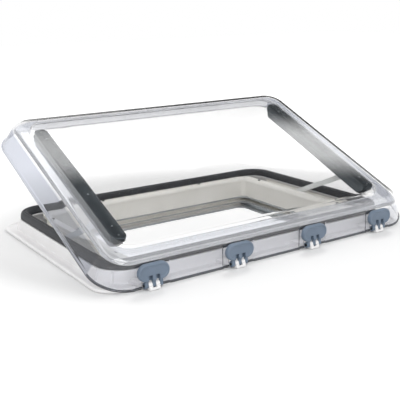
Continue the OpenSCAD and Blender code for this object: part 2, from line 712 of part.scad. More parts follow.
module left_rail() rail(-1);
module right_rail() rail(1);

// Rail screws: their heads stand under the rail's top plate, their tips end level with it
module rail_screws(side) color(steel) opened() translate([side * channel_x, rail_cy, 0])
  for (y = rail_screw_y) translate([0, y, rail_top - rail_t - gap]) mirror([0, 0, 1])
    screw(rail_screw_r, rail_screw_head, 1.8, rail_t + gap);
module left_rail_screws() rail_screws(-1);
module right_rail_screws() rail_screws(1);

// Bracket in the rail that carries the arm's upper pivot
module arm_bracket(side) color(rail_anthracite) opened()
  translate([side * (channel_x + arm_t / 2 + gap + bracket_t / 2), pivot_y, pivot_z]) difference() {
    union() {
      rotate([0, 90, 0]) cylinder(r = eye_r, h = bracket_t, center = true);
      translate([-bracket_t / 2, -eye_r, 0])
        cube([bracket_t, 2 * eye_r, rail_top - rail_t - gap - pivot_z]);
      translate([side > 0 ? -bracket_t / 2 : bracket_t / 2 - bracket_foot, -bracket_w / 2,
                 rail_top - rail_t - gap - 3 - pivot_z]) cube([bracket_foot, bracket_w, 3]);
    }
    rotate([0, 90, 0]) cylinder(r = arm_pin_r + pin_gap, h = bracket_t + 2, center = true);
  }
module left_arm_bracket() arm_bracket(-1);
module right_arm_bracket() arm_bracket(1);

module arm_pin(side) color(steel) opened() translate([side * channel_x, pivot_y, pivot_z])
  rotate([0, side * 90, 0]) translate([0, 0, -arm_t / 2 - gap - 2]) {
    cylinder(r = arm_pin_r + 2, h = 2);
    cylinder(r = arm_pin_r, h = arm_t + 2 * gap + bracket_t + 3);
  }
module left_arm_pin() arm_pin(-1);
module right_arm_pin() arm_pin(1);

// Arm, drawn from its upper pivot towards +Y and turned down into its track
module at_arm(side) {
  p = open_deg + pivot_deg;
  translate([side * channel_x, hinge_y + arm_len * cos(p), hinge_z + arm_len * sin(p)])
    rotate([arm_deg + open_deg, 0, 0]) children();
}
module arm(side) color(arm_grey) at_arm(side) difference() {
  union() {
    translate([-arm_t / 2, 0, -arm_w / 2]) cube([arm_t, arm_len, arm_w]);
    for (y = [0, arm_len]) translate([0, y, 0]) rotate([0, 90, 0])
      cylinder(r = arm_w / 2, h = arm_t, center = true);
  }
  rotate([0, 90, 0]) cylinder(r = arm_pin_r + pin_gap, h = arm_t + 2, center = true);
  translate([0, arm_len, 0]) rotate([0, 90, 0])
    cylinder(r = arm_pin_r + pin_gap, h = arm_t + 2, center = true);
}
module left_arm() arm(-1);
module right_arm() arm(1);

// Glide: a round shoe with its own pin through the arm's lower eye
module glide(side) color(black) at_arm(side) translate([0, arm_len, 0]) rotate([0, side * 90, 0]) {
  translate([0, 0, arm_t / 2 + gap]) cylinder(r = glide_r, h = glide_w);
  translate([0, 0, -arm_t / 2 - 1]) cylinder(r = arm_pin_r, h = arm_t + 2 + gap);
}
module left_glide() glide(-1);
module right_glide() glide(1);

// End bar of a blind, parked at the right end for side 1 and at the left end for side -1
module blind_bar(side, z0) color(bar_grey) translate([0, ring_cy, z0 + bar_z_gap]) {
  len_y = 2 * (inner_y - shell_t - bar_end_gap);
  h = gallery_h - 2 * bar_z_gap;
  mirror([side > 0 ? 0 : 1, 0, 0]) translate([bar_front, len_y / 2, 0]) rotate([90, 0, 0])
    linear_extrude(len_y) polygon([[0, 1], [1, 0], [bar_w, 0], [bar_w, h], [1, h], [0, h - 1],
                                   [0, h * 0.7], [0.8, h * 0.6], [0.8, h * 0.4], [0, h * 0.3]]);
}
module blackout_bar() blind_bar(1, lower_z0);
module flyscreen_bar() blind_bar(-1, upper_z0);

// Finger grip in the middle of an end bar
module blind_grip(side, z0) color(grip_grey)
  translate([side * bar_front, ring_cy, z0 + gallery_h / 2]) mirror([side > 0 ? 0 : 1, 0, 0])
    translate([-grip_out, 0, -grip_h / 2]) {
      translate([2, -grip_len / 2, 0]) cube([grip_out - 2, grip_len, grip_h]);
      translate([0, -grip_len / 2 + 6, 0]) cube([3, grip_len - 12, 2.5]);
    }
module blackout_grip() blind_grip(1, lower_z0);
module flyscreen_grip() blind_grip(-1, upper_z0);

// Parked blind: a folded sheet between the end bar and the gallery's end wall
module blind_pleats(side, z0, tint) color(tint) translate([0, ring_cy, z0 + bar_z_gap]) {
  h = gallery_h - 2 * bar_z_gap;
  x0 = bar_front + bar_w + fold_gap;
  step = (inner_x - shell_t - fold_gap - x0) / (2 * folds);
  web = step * 0.55;
  len_y = 2 * (inner_y - shell_t - bar_end_gap);
  top = [for (k = [0:2 * folds]) [x0 + k * step, k % 2 == 0 ? 0 : h - web]];
  low = [for (k = [2 * folds:-1:0]) [x0 + k * step, (k % 2 == 0 ? 0 : h - web) + web]];
  mirror([side > 0 ? 0 : 1, 0, 0]) translate([0, len_y / 2, 0]) rotate([90, 0, 0])
    linear_extrude(len_y) polygon(concat(top, low));
}
module blackout_pleats() blind_pleats(1, lower_z0, blind_cloth);
module flyscreen_pleats() blind_pleats(-1, upper_z0, screen_mesh);

module crank_gearbox() color(liner_cream) difference() {
  translate([-gearbox_x, gearbox_y0, gearbox_z0])
    cube([2 * gearbox_x, gearbox_y1 - gearbox_y0, gearbox_z1 - gearbox_z0]);
  translate([-gearbox_x + gearbox_t, gearbox_y0 + gearbox_t, gearbox_z0 + gearbox_t])
    cube([2 * (gearbox_x - gearbox_t), gearbox_y1 - gearbox_y0 - 2 * gearbox_t,
          gearbox_z1 - gearbox_z0 - 2 * gearbox_t]);
  translate([0, crank_y, gearbox_z0 - 1]) cylinder(r = shaft_r + pin_gap, h = gearbox_t + 2);
}

// Drive cable from the gearbox to the arm's track, with a sleeve round its bend
module drive_cable(side) color(black) mirror([side > 0 ? 0 : 1, 0, 0]) {
  x0 = gearbox_x + gap;
  x1 = channel_x - cable_bend;
  y1 = track_y0 - gap;
  lap = 2;
  translate([x0, crank_y, cable_z]) rotate([0, 90, 0]) cylinder(r = cable_r, h = x1 - x0 + lap);
  translate([x1, crank_y + cable_bend, cable_z]) rotate([0, 0, -90]) rotate_extrude(angle = 90)
    translate([cable_bend, 0]) circle(cable_r + sleeve_t);
  translate([channel_x, y1, cable_z]) rotate([90, 0, 0])
    cylinder(r = cable_r, h = y1 - crank_y - cable_bend + lap);
}
module left_drive_cable() drive_cable(-1);
module right_drive_cable() drive_cable(1);

module crank_shaft() color(steel) translate([0, crank_y, crank_top - hub_depth + gap])
  cylinder(r = shaft_r, h = pinion_z0 + pinion_h + 1 - crank_top + hub_depth - gap);

// Pinion: a round body with square-cut teeth that meets the drive cables
module drive_pinion() color(steel) translate([0, crank_y, pinion_z0]) difference() {
  union() {
    cylinder(r = pinion_r - tooth_h, h = pinion_h);
    for (k = [0:pinion_n - 1]) rotate([0, 0, 360 * k / pinion_n])
      translate([0, -tooth_w / 2, 0]) cube([pinion_r, tooth_w, pinion_h]);
  }
  translate([0, 0, -1]) cylinder(r = shaft_r + pin_gap, h = pinion_h + 2);
}

module crank_arm() color(frame_white) translate([0, crank_y, crank_top - crank_h]) difference() {
  union() {
    cylinder(r = hub_r, h = crank_h);
    translate([0, -crank_w / 2, crank_arm_z]) cube([crank_len, crank_w, crank_arm_h]);
    translate([crank_len, 0, crank_arm_z]) cylinder(r = knob_r, h = crank_arm_h);
    translate([crank_len, 0, crank_arm_z + 1 - knob_len]) cylinder(r = knob_pin_r, h = knob_len);
  }
  translate([0, 0, crank_h - hub_depth]) cylinder(r = shaft_r + pin_gap, h = hub_depth + 1);
}

module crank_knob() color(rail_anthracite)
  translate([crank_len, crank_y, crank_top - crank_h + crank_arm_z - gap]) rotate([180, 0, 0])
  difference() {
    rotate_extrude() polygon([[0, 0], [knob_r - 1.5, 0], [knob_r, 2], [knob_r - 1.5, knob_len * 0.5],
                              [knob_r, knob_len - 2], [knob_r - 2, knob_len + 1], [0, knob_len + 1]]);
    translate([0, 0, -1]) cylinder(r = knob_pin_r + pin_gap, h = knob_len);
  }

outer_frame();
roof_gasket();
rim_seal();
inner_liner();
left_arm_track();
right_arm_track();
inner_frame();
ceiling_trim();
roof_clamps();
clamp_screws();
frame_screws();
hinge_base_1();
hinge_base_2();
hinge_base_3();
hinge_base_4();
hinge_pin_1();
hinge_pin_2();
hinge_pin_3();
hinge_pin_4();
crank_gearbox();
left_drive_cable();
right_drive_cable();
blackout_pleats();
flyscreen_pleats();
outer_dome();
inner_pane();
left_rail();
right_rail();
left_rail_screws();
right_rail_screws();
hinge_cover_1();
hinge_cover_2();
hinge_cover_3();
hinge_cover_4();
left_arm_bracket();
right_arm_bracket();
left_arm_pin();
right_arm_pin();
left_arm();
right_arm();
left_glide();
right_glide();
blackout_bar();
blackout_grip();
flyscreen_bar();
flyscreen_grip();
crank_shaft();
drive_pinion();
crank_arm();
crank_knob();
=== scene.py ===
# %% [markdown]
# # A caravan roof vent
# A clear double dome stands open on a white roof frame, held up by two side arms. The solid parts
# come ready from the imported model, each in its place. This lesson gives them their finishes, and
# replaces those whose rounded edges, thin lips or folds a plain solid leaves out. Lengths are mm.

# %% Load the solid parts
import math

import bmesh
import bpy
import numpy as np
from mathutils import Matrix


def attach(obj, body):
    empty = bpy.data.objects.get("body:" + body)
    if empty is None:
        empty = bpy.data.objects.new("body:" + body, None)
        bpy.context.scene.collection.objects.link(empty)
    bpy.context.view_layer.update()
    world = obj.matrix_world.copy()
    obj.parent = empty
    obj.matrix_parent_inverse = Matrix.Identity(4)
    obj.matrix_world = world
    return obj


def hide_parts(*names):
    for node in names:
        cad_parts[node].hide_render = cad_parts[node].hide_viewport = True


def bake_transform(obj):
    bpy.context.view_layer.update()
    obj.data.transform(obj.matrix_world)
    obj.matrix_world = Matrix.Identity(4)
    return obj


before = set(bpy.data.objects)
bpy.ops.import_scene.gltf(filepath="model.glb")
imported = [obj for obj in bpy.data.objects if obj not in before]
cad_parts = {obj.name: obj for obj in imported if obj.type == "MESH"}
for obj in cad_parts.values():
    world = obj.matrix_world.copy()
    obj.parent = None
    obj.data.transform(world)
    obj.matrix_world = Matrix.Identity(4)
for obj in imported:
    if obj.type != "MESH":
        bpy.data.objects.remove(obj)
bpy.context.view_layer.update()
MM = 0.001

# %% [markdown]
# ## Camera
# The picture was taken from the hinge side, a little above the dome. The camera could be aimed by
# eye, but its heading, tilt and focal length follow from a few known lengths on the object, so they
# are written as numbers: three unit vectors for the camera's right, up and view directions.

# %% Camera
FRAME_PX, FOCAL_PX, SENSOR_MM = 400, 728.68, 36.0
yaw, pitch, roll = np.radians([33.77, 14.92, -0.96])
camera_mm = np.array([-975.14, -1451.44, 530.56])

look = np.array([math.sin(yaw) * math.cos(pitch), math.cos(yaw) * math.cos(pitch),
                 -math.sin(pitch)])
right = np.array([math.cos(yaw), -math.sin(yaw), 0.0])
up = np.cross(right, look)
right, up = (math.cos(roll) * right + math.sin(roll) * up,
             math.cos(roll) * up - math.sin(roll) * right)

camera_data = bpy.data.cameras.new("studio_camera")
camera_data.sensor_fit = "HORIZONTAL"
camera_data.sensor_width = SENSOR_MM
camera_data.lens = SENSOR_MM * FOCAL_PX / FRAME_PX
camera = bpy.data.objects.new("studio_camera", camera_data)
pose = np.eye(4)
pose[:3, 0], pose[:3, 1], pose[:3, 2], pose[:3, 3] = right, up, -look, camera_mm * MM
camera.matrix_world = Matrix(pose)
bpy.context.scene.collection.objects.link(camera)
bpy.context.scene.camera = camera
bpy.context.scene.view_settings.view_transform = "Standard"
print("lens", round(camera_data.lens, 2), "mm")

# %% [markdown]
# ## Colour and node helpers
# Colours are picked as sRGB hex values, but a shader works in linear light, so one function turns
# them over. Node trees could be built by hand in the editor; one small function that adds a node
# with its values and links keeps each material readable as text.

# %% Colour and node helpers
def linear(code):
    """Linear colour of a hex code: ((c + 0.055) / 1.055) to the power 2.4, c / 12.92 near black."""
    c = np.array([int(code[k:k + 2], 16) for k in (1, 3, 5)]) / 255
    return (*np.where(c <= 0.04045, c / 12.92, ((c + 0.055) / 1.055) ** 2.4).tolist(), 1.0)


def add(tree, kind, values=None, links=None, **settings):
    """Adds a node: settings are its choices, values fill sockets, links join {socket: source}.

    A source is an output, or a node for its first output.
    """
    node = tree.nodes.new("ShaderNode" + kind)
    for key, value in settings.items():
        setattr(node, key, value)
    for key, value in (values or {}).items():
        node.inputs[key].default_value = value
    for key, source in (links or {}).items():
        output = source.outputs[0] if isinstance(source, bpy.types.Node) else source
        tree.links.new(output, node.inputs[key])
    return node


def empty_material(name):
    """A material with no nodes yet, and its tree."""
    made = bpy.data.materials.new(name)
    made.use_nodes = True
    made.node_tree.nodes.clear()
    return made, made.node_tree


WHITE = (1, 1, 1, 1)
print("mid grey", [round(v, 3) for v in linear("#808080")])

# %% [markdown]
# ## Floor and backdrop
# The vent lies on a roof skin, so the floor is a pale sheet with the roof's cut-out in it, and the
# parts below the roof hang through. A second pale sheet lies below the cut-out. The picture's
# ground is white: for sight, mirror and refraction rays the floor glows on top of its own colour,
# hardly at all near the vent, which leaves its soft shadow, and more further out.

# %% Floor and backdrop
GLOW_NEAR_M, GLOW_FAR_M = 0.50, 0.92
CUTOUT = (350, 250)
FLOOR_HALF, FLOOR_Z = 9000, -0.4
CARD_HALF, CARD_Z = 900, -260


def white_for_sight(tree):
    """1 for camera, glossy and transmitted rays, 0 for the rays that light the object."""
    path = add(tree, "LightPath").outputs
    seen = add(tree, "Math", links={0: path["Is Camera Ray"], 1: path["Is Glossy Ray"]},
               operation="MAXIMUM")
    return add(tree, "Math", links={0: seen, 1: path["Is Transmission Ray"]}, operation="MAXIMUM")


def pale_sheet(name, code, glow, far_glow):
    """Matt pale sheet that glows for sight and mirror rays: glow near by, far_glow far out."""
    made, tree = empty_material(name)
    matt = add(tree, "BsdfDiffuse", {"Color": linear(code)})
    place = add(tree, "TexCoord").outputs["Object"]
    away = add(tree, "VectorMath", links={0: place}, operation="LENGTH").outputs["Value"]
    span = {"From Min": GLOW_NEAR_M, "From Max": GLOW_FAR_M, "To Min": glow, "To Max": far_glow}
    amount = add(tree, "MapRange", span, {"Value": away})
    level = add(tree, "Math", links={0: white_for_sight(tree), 1: amount}, operation="MULTIPLY")
    light = add(tree, "Emission", {"Color": WHITE}, {"Strength": level})
    both = add(tree, "AddShader", links={0: matt, 1: light})
    add(tree, "OutputMaterial", links={"Surface": both})
    return made


def stage_sheet(name, half, height, finish, hole=None):
    """Flat square sheet; with a hole it is four quads between the square and the hole's edge."""
    corners = np.array([(1, 1), (-1, 1), (-1, -1), (1, -1)])
    points, faces = corners * half, [[0, 1, 2, 3]]
    if hole:
        points = np.concatenate([points, corners * hole])
        faces = [[k, (k + 1) % 4, 4 + (k + 1) % 4, 4 + k] for k in range(4)]
    points = np.column_stack([points, np.full(len(points), height)])
    mesh = bpy.data.meshes.new(name)
    mesh.from_pydata((points * MM).tolist(), [], faces)
    mesh.materials.append(finish)
    sheet = bpy.data.objects.new(name, mesh)
    bpy.context.scene.collection.objects.link(sheet)


roof_white = pale_sheet("roof_skin_white_paint", "#E3E3E3", 0.02, 0.55)
below_white = pale_sheet("backdrop_white_card", "#EDEDED", 0.85, 0.85)
stage_sheet("roof_floor", FLOOR_HALF, FLOOR_Z, roof_white, CUTOUT)
stage_sheet("card_below", CARD_HALF, CARD_Z, below_white)
print("floor with a cut-out of", 2 * CUTOUT[0], "by", 2 * CUTOUT[1], "mm")

# %% [markdown]
# ## Light
# One even sky would do for a matt object, but acrylic mirrors what surrounds it. So the rays that
# light the vent see an even fill, while sight, mirrors and refraction see a white sky with two
# things hung in it, as in a studio: a dark flag, so that the dome's top mirrors no white into the
# camera, and a soft bright strip, a highlight for the rails. Both are placed for this camera. Two
# soft boxes at a plain level draw the shapes. The back one is hidden from mirrors and refraction,
# because its outline would show in the dome.

# %% Light
SKY_LEVEL, FILL_LEVEL = 1.0, 0.9
FLAG_LEVEL, FLAG_WAY, FLAG_RIM, FLAG_CORE = 0.04, (0.55, 0.38, 0.74), 0.84, 0.94
STRIP_LEVEL, STRIP_NORMAL, STRIP_CORE, STRIP_RIM = 1.5, (0.0, 0.853, -0.523), 0.01, 0.055
LAMP_WATTS, LAMP_AIM = 19, (0, 0, 0.05)

world = bpy.data.worlds.new("soft_studio")
world.use_nodes = True
sky = world.node_tree
sky.nodes.clear()
heading = add(sky, "TexCoord").outputs["Generated"]
toward, across = (add(sky, "VectorMath", {1: way}, {0: heading},
                      operation="DOT_PRODUCT").outputs["Value"] for way in (FLAG_WAY, STRIP_NORMAL))
flag_span = {"From Min": FLAG_RIM, "From Max": FLAG_CORE, "To Min": SKY_LEVEL, "To Max": FLAG_LEVEL}
flagged = add(sky, "MapRange", flag_span, {"Value": toward})
across = add(sky, "Math", links={0: across}, operation="ABSOLUTE")
strip_span = {"From Min": STRIP_CORE, "From Max": STRIP_RIM, "To Min": STRIP_LEVEL, "To Max": 0.0}
strip = add(sky, "MapRange", strip_span, {"Value": across}, interpolation_type="SMOOTHSTEP")
seen = add(sky, "Math", links={0: flagged, 1: strip}, operation="MAXIMUM")
level = add(sky, "Mix", {2: FILL_LEVEL}, {0: white_for_sight(sky), 3: seen})
glow = add(sky, "Background", {"Color": WHITE}, {"Strength": level})
add(sky, "OutputWorld", links={"Surface": glow})
bpy.context.scene.world = world


def soft_box(name, size, place):
    """Square lamp of that size in metres, turned so that its face looks from place to the vent."""
    lamp = bpy.data.lights.new(name, "AREA")
    lamp.energy, lamp.size = LAMP_WATTS, size
    holder = bpy.data.objects.new(name, lamp)
    back = np.subtract(place, LAMP_AIM)
    back /= np.linalg.norm(back)
    side = np.cross((0.0, 1.0, 0.0), back)
    side /= np.linalg.norm(side)
    turn = np.eye(4)
    turn[:3, 0], turn[:3, 1], turn[:3, 2], turn[:3, 3] = side, np.cross(back, side), back, place
    holder.matrix_world = Matrix(turn)
    bpy.context.scene.collection.objects.link(holder)
    return holder


soft_box("front_box", 1.4, (-0.9, -1.7, 1.5))
back_box = soft_box("back_box", 0.8, (1.3, 1.0, 2.1))
back_box.visible_glossy = back_box.visible_transmission = False
print("fill", FILL_LEVEL, "and two soft boxes of", LAMP_WATTS, "W")

# %% [markdown]
# ## Moulded and coated finishes
# Nearly all parts are mouldings: white and cream ABS, a blue-grey one for the hinge covers, black
# nylon and rubber. Such a surface has three kinds of detail: slow clouds of tone from the flow of
# the plastic, a fine grain from the eroded mould, and a grain in its gloss. Each could be painted
# as an image; noise on object coordinates needs none, and its size is given in millimetres.

# %% Moulded and coated finishes
GLOSS_SPREAD = 0.06


def moulded(name, code, shade, rough, grain_mm, relief_mm, cloud_mm=70, metal=0.0, stretch=None):
    """Colour drifts from code to shade in clouds of cloud_mm; grain of grain_mm lifts by relief_mm.

    stretch turns the grain into lines: it multiplies the coordinates, so 1 across the lines and a
    small number along them.
    """
    made, tree = empty_material(name)
    place = add(tree, "TexCoord").outputs["Object"]
    cloud = add(tree, "TexNoise", {"Scale": 1 / (cloud_mm * MM), "Detail": 3.0},
                {"Vector": place}).outputs["Fac"]
    drift = add(tree, "MapRange", {"From Min": 0.32, "From Max": 0.68}, {"Value": cloud})
    colour = add(tree, "Mix", {6: linear(code), 7: linear(shade)}, {0: drift},
                 data_type="RGBA").outputs[2]
    if stretch:
        place = add(tree, "Mapping", {"Scale": stretch}, {"Vector": place})
    grain = add(tree, "TexNoise", {"Scale": 1 / (grain_mm * MM), "Detail": 2.0},
                {"Vector": place}).outputs["Fac"]
    span = {"From Min": 0.3, "From Max": 0.7, "To Min": rough - GLOSS_SPREAD,
            "To Max": rough + GLOSS_SPREAD}
    gloss = add(tree, "MapRange", span, {"Value": grain})
    relief = add(tree, "Bump", {"Strength": 0.6, "Distance": relief_mm * MM}, {"Height": grain})
    skin = add(tree, "BsdfPrincipled", {"IOR": 1.5, "Metallic": metal},
               {"Base Color": colour, "Roughness": gloss, "Normal": relief})
    add(tree, "OutputMaterial", links={"Surface": skin})
    return made


ALONG_Y = (1.0, 0.02, 1.0)
# Gloss-moulded ABS: bright, slightly warm, faintly grained, soft highlights along the beads.
white_abs = moulded("white_moulded_abs", "#EAE9E9", "#E4E3E3", 0.34, 1.4, 0.015)
# Satin cream ABS: the same plastic from a finely eroded mould, so light spreads wider on it.
cream_abs = moulded("cream_satin_abs", "#F0EEE9", "#EAE8E2", 0.48, 1.1, 0.02)
# EPDM rubber: nearly black with a grey bloom, dull, with a soft grain from the extrusion die.
seal_rubber = moulded("epdm_rubber", "#202226", "#2B2E33", 0.58, 1.2, 0.03, cloud_mm=40)
# Blue-grey ASA of the hinge covers: weather-proof satin moulding with a fine even grain.
blue_grey_asa = moulded("blue_grey_satin_asa", "#606E7E", "#697788", 0.42, 0.9, 0.02)
# Anthracite anodised aluminium: a dark, fairly glossy metal with fine drawing lines along Y.
dark_anodised = moulded("anthracite_anodised_aluminium", "#4A5156", "#434A4F", 0.22, 0.7, 0.004,
                        metal=0.5, stretch=ALONG_Y)
# Grey anodised aluminium of the blind bars: the same, paler, drawn along the bar.
grey_anodised = moulded("grey_anodised_aluminium", "#A2A8AC", "#989EA3", 0.34, 0.7, 0.008,
                        metal=1.0, stretch=ALONG_Y)
# Powder coat of the lifting arms: pale grey with the slight orange peel of baked powder.
arm_powder = moulded("pale_grey_powder_coat", "#F0F2F2", "#E8EBEB", 0.38, 1.8, 0.03)
# Blackened steel of the hinge pins: a dark metal with an oily sheen.
black_steel = moulded("blackened_steel", "#2A2B2E", "#1E1F21", 0.36, 0.6, 0.01, cloud_mm=12,
                      metal=0.7)
# Zinc-plated steel of screws and clamps: bright, slightly cloudy.
zinc_steel = moulded("zinc_plated_steel", "#B9BDC0", "#A3A8AC", 0.30, 0.8, 0.008, cloud_mm=9,
                     metal=1.0)
# Black nylon of glides, screws and cable covers: dull, softly grained.
black_nylon = moulded("black_nylon", "#1E1F21", "#27282B", 0.5, 0.9, 0.02)
# Grey ABS of the finger grips.
grip_abs = moulded("grey_satin_abs", "#70767B", "#686E73", 0.45, 0.9, 0.02)
# Paler grey ABS of the lips below the liner.
lip_abs = moulded("pale_grey_satin_abs", "#A9ADAF", "#A1A5A8", 0.42, 0.9, 0.02)
# Anthracite nylon of the crank knob and the arm brackets, with the glass fibre's flow marks.
dark_nylon = moulded("anthracite_filled_nylon", "#3B4144", "#444A4E", 0.45, 1.0, 0.02, cloud_mm=25)
print("finishes from", white_abs.name, "to", dark_nylon.name)

# %% [markdown]
# ## Clear acrylic
# The dome and the pane inside it are thermoformed acrylic sheet, which refracts with an index of
# 1.49. A see-through paint would be quicker, but real refraction draws the dark double lines along
# the dome's edges. The sheet is almost colourless; the breath of lavender on the skirt, where it is
# seen at a slant, is painted shade, and a slow waviness from the forming shows in its reflections.

# %% Clear acrylic
ACRYLIC_IOR, ACRYLIC_SPECULAR = 1.49, 0.3


def acrylic(name, code, rough, wave_mm, relief_mm, haze=0.0):
    """Refracting sheet: waves of wave_mm lift it by relief_mm and vary its gloss; haze scatters."""
    made, tree = empty_material(name)
    place = add(tree, "TexCoord").outputs["Object"]
    wave = add(tree, "TexNoise", {"Scale": 1 / (wave_mm * MM), "Detail": 1.0},
               {"Vector": place}).outputs["Fac"]
    gloss = add(tree, "MapRange", {"To Min": rough * 0.6, "To Max": rough * 1.4}, {"Value": wave})
    relief = add(tree, "Bump", {"Strength": 0.3, "Distance": relief_mm * MM}, {"Height": wave})
    clear = {"Base Color": linear(code), "IOR": ACRYLIC_IOR, "Transmission Weight": 1.0 - haze,
             "Specular IOR Level": ACRYLIC_SPECULAR}
    skin = add(tree, "BsdfPrincipled", clear, {"Roughness": gloss, "Normal": relief})
    add(tree, "OutputMaterial", links={"Surface": skin})
    return made


# Tops of dome and pane: colourless and polished.
clear_acrylic = acrylic("clear_formed_acrylic", "#FFFFFF", 0.012, 90, 0.02)
# Skirt: painted shade, a pale tint for the stretched sheet seen at a slant.
skirt_shade_acrylic = acrylic("painted_shade_skirt_acrylic", "#E4E5E9", 0.02, 60, 0.03)
# Left and right sides of the skirt: the same painted shade, darker, with a stronger lavender tint.
side_shade_acrylic = acrylic("painted_shade_side_acrylic", "#BEC1CA", 0.02, 60, 0.03)
# Near lip: a painted shadow, nearly black, for the shadow that falls under the lip; the dome casts
# none.
lip_shadow_acrylic = acrylic("painted_shadow_near_lip_acrylic", "#24272D", 0.10, 8, 0.02)
# Rim of the pane: the weld to the dome is not quite clear and scatters some light.
matt_acrylic = acrylic("welded_acrylic_rim", "#DCDEE3", 0.06, 6.0, 0.03, haze=0.15)
print("acrylic from", clear_acrylic.name, "to", matt_acrylic.name)

# %% [markdown]
# ## Blind cloth and fly mesh
# The blackout blind is a coated polyester and the flyscreen a woven mesh of thin dark threads. Both
# are folded like a fan. Their weave runs along the cloth, not along the room, so it is drawn on the
# sheet's own UV map, which is laid out in metres of cloth.

# %% Blind cloth and fly mesh
BAND_PERIOD, CLOTH_RELIEF_MM = 0.314, 0.1


def woven(name, thread, gap_tone, pitch_mm, rough, sheen):
    """Two crossed sets of bands at the thread pitch, along U and V, tint and lift the cloth."""
    made, tree = empty_material(name)
    cloth = add(tree, "UVMap", uv_map="cloth")
    size = {"Scale": BAND_PERIOD / (pitch_mm * MM), "Distortion": 0.4}
    bands = [add(tree, "TexWave", size, {"Vector": cloth}, bands_direction=way).outputs["Fac"]
             for way in ("X", "Y")]
    weave = add(tree, "Math", links={0: bands[0], 1: bands[1]}, operation="MAXIMUM")
    colour = add(tree, "Mix", {6: linear(gap_tone), 7: linear(thread)}, {0: weave},
                 data_type="RGBA").outputs[2]
    relief = add(tree, "Bump", {"Strength": 0.5, "Distance": CLOTH_RELIEF_MM * MM},
                 {"Height": weave})
    skin = add(tree, "BsdfPrincipled", {"Roughness": rough, "Sheen Weight": sheen},
               {"Base Color": colour, "Normal": relief})
    add(tree, "OutputMaterial", links={"Surface": skin})
    return made


# The real threads, 0.5 mm apart, are too fine to show, so both weaves are three times as coarse.
blackout_cloth = woven("coated_polyester_cloth", "#C0BEB8", "#AEACA6", 1.5, 0.75, 0.2)
fly_mesh = woven("woven_fly_mesh", "#3C3D3F", "#232426", 1.5, 0.65, 0.1)
print(blackout_cloth.name, "and", fly_mesh.name)

# %% [markdown]
# ## Rings and shells
# Most parts of the vent run round its rectangular opening, so the basic shape is a rounded
# rectangle, and a surface is a stack of them: one parameter goes round, the other over the part's
# profile. A sheet with two faces is two such stacks, joined along their free edges.

# %% Rings and shells
def grid_faces(rows, cols, wrap_rows=False):
    """Quads of a grid that is closed along its rows, and along its columns too with wrap_rows."""
    i, j = np.meshgrid(np.arange(rows if wrap_rows else rows - 1), np.arange(cols), indexing="ij")
    n, k = (i + 1) % rows, (j + 1) % cols
    return np.stack([i * cols + j, i * cols + k, n * cols + k, n * cols + j], -1).reshape(-1, 4)


def gridded(stack, wrap_rows=False):
    """A surface: a stack of rows and the quads that join them."""
    return stack, grid_faces(*stack.shape[:2], wrap_rows)


def rings(half_x, half_y, radius, centre_y, height, near=None, corner=12):
    """Rounded rectangles, one a row, anticlockwise from above: corner centre + radius (cos, sin).

    near holds x places on the side of the hinges, where a row gets points of its own to bend or
    cut; corner is the number of points on each corner.
    """
    hx, hy, r, cy, z = (v.reshape(-1, 1, 1) for v in np.broadcast_arrays(
        *(np.atleast_1d(np.asarray(v, float)) for v in (half_x, half_y, radius, centre_y, height))))
    turn = np.radians(np.arange(4)[:, None] * 90 + np.linspace(0, 90, corner))
    sx, sy = np.array([1, -1, -1, 1])[:, None], np.array([1, 1, -1, -1])[:, None]
    x = (sx * (hx - r) + r * np.cos(turn)).reshape(len(hx), -1)
    y = (cy + sy * (hy - r) + r * np.sin(turn)).reshape(len(hx), -1)
    if near is not None:
        near = np.broadcast_to(near, (len(hx), np.shape(near)[-1]))
        near_y = np.broadcast_to((cy - hy)[:, :, 0], near.shape)
        cut = 3 * corner
        x = np.concatenate([x[:, :cut], near, x[:, cut:]], 1)
        y = np.concatenate([y[:, :cut], near_y, y[:, cut:]], 1)
    return np.stack([x, y, np.broadcast_to(z[:, :, 0], x.shape)], -1)


def closed_ring(half_x, half_y, radius, centre_y, profile):
    """A profile of (outwards, height) carried round a rounded rectangle, anticlockwise."""
    out, high = np.asarray(profile, float).T
    radius = np.maximum(radius + out, 1.0)
    return gridded(rings(half_x + out, half_y + out, radius, centre_y, high), True)


def shell(outer, inner, keep=None):
    """Two equal grids as the faces of one sheet, with walls wherever a kept cell has no neighbour.

    The rows run from the rim to a last row that is shut, so no wall is made there.
    """
    rows, cols = outer.shape[:2]
    size = rows * cols
    i, j = np.meshgrid(np.arange(rows - 1), np.arange(cols), indexing="ij")
    k = (j + 1) % cols
    a, b, c, d = i * cols + j, i * cols + k, (i + 1) * cols + k, (i + 1) * cols + j
    keep = np.ones(a.shape, bool) if keep is None else keep
    edge = np.zeros((1, cols), bool)
    below, above = np.concatenate([edge, keep[:-1]]), np.concatenate([keep[1:], ~edge])
    after, before = np.roll(keep, -1, 1), np.roll(keep, 1, 1)
    faces = [np.stack([a, b, c, d], -1)[keep], np.stack([d, c, b, a], -1)[keep] + size]
    sides = ((b, a, ~below), (c, b, ~after), (d, c, ~above), (a, d, ~before))
    for first, second, open_side in sides:
        wall = np.stack([first, second, second + size, first + size], -1)
        faces.append(wall[keep & open_side])
    return np.concatenate([outer.reshape(-1, 3), inner.reshape(-1, 3)]), np.concatenate(faces)


print("grid of 3 by 4 has", len(grid_faces(3, 4)), "faces")

# %% [markdown]
# ## Turned shapes and pieces
# Round posts and screws are a profile spun about an axis. What belongs to the dome is drawn shut,
# with its rows level, and then turned open about the hinge axis. All surfaces are plain arrays of
# points and faces, so one function makes the mesh, gives it a finish and sets it on its body.

# %% Turned shapes and pieces
HINGE_Y, HINGE_Z, OPEN_DEG = -296.5, 10.0, 23.0
MERGE_M = 2e-6


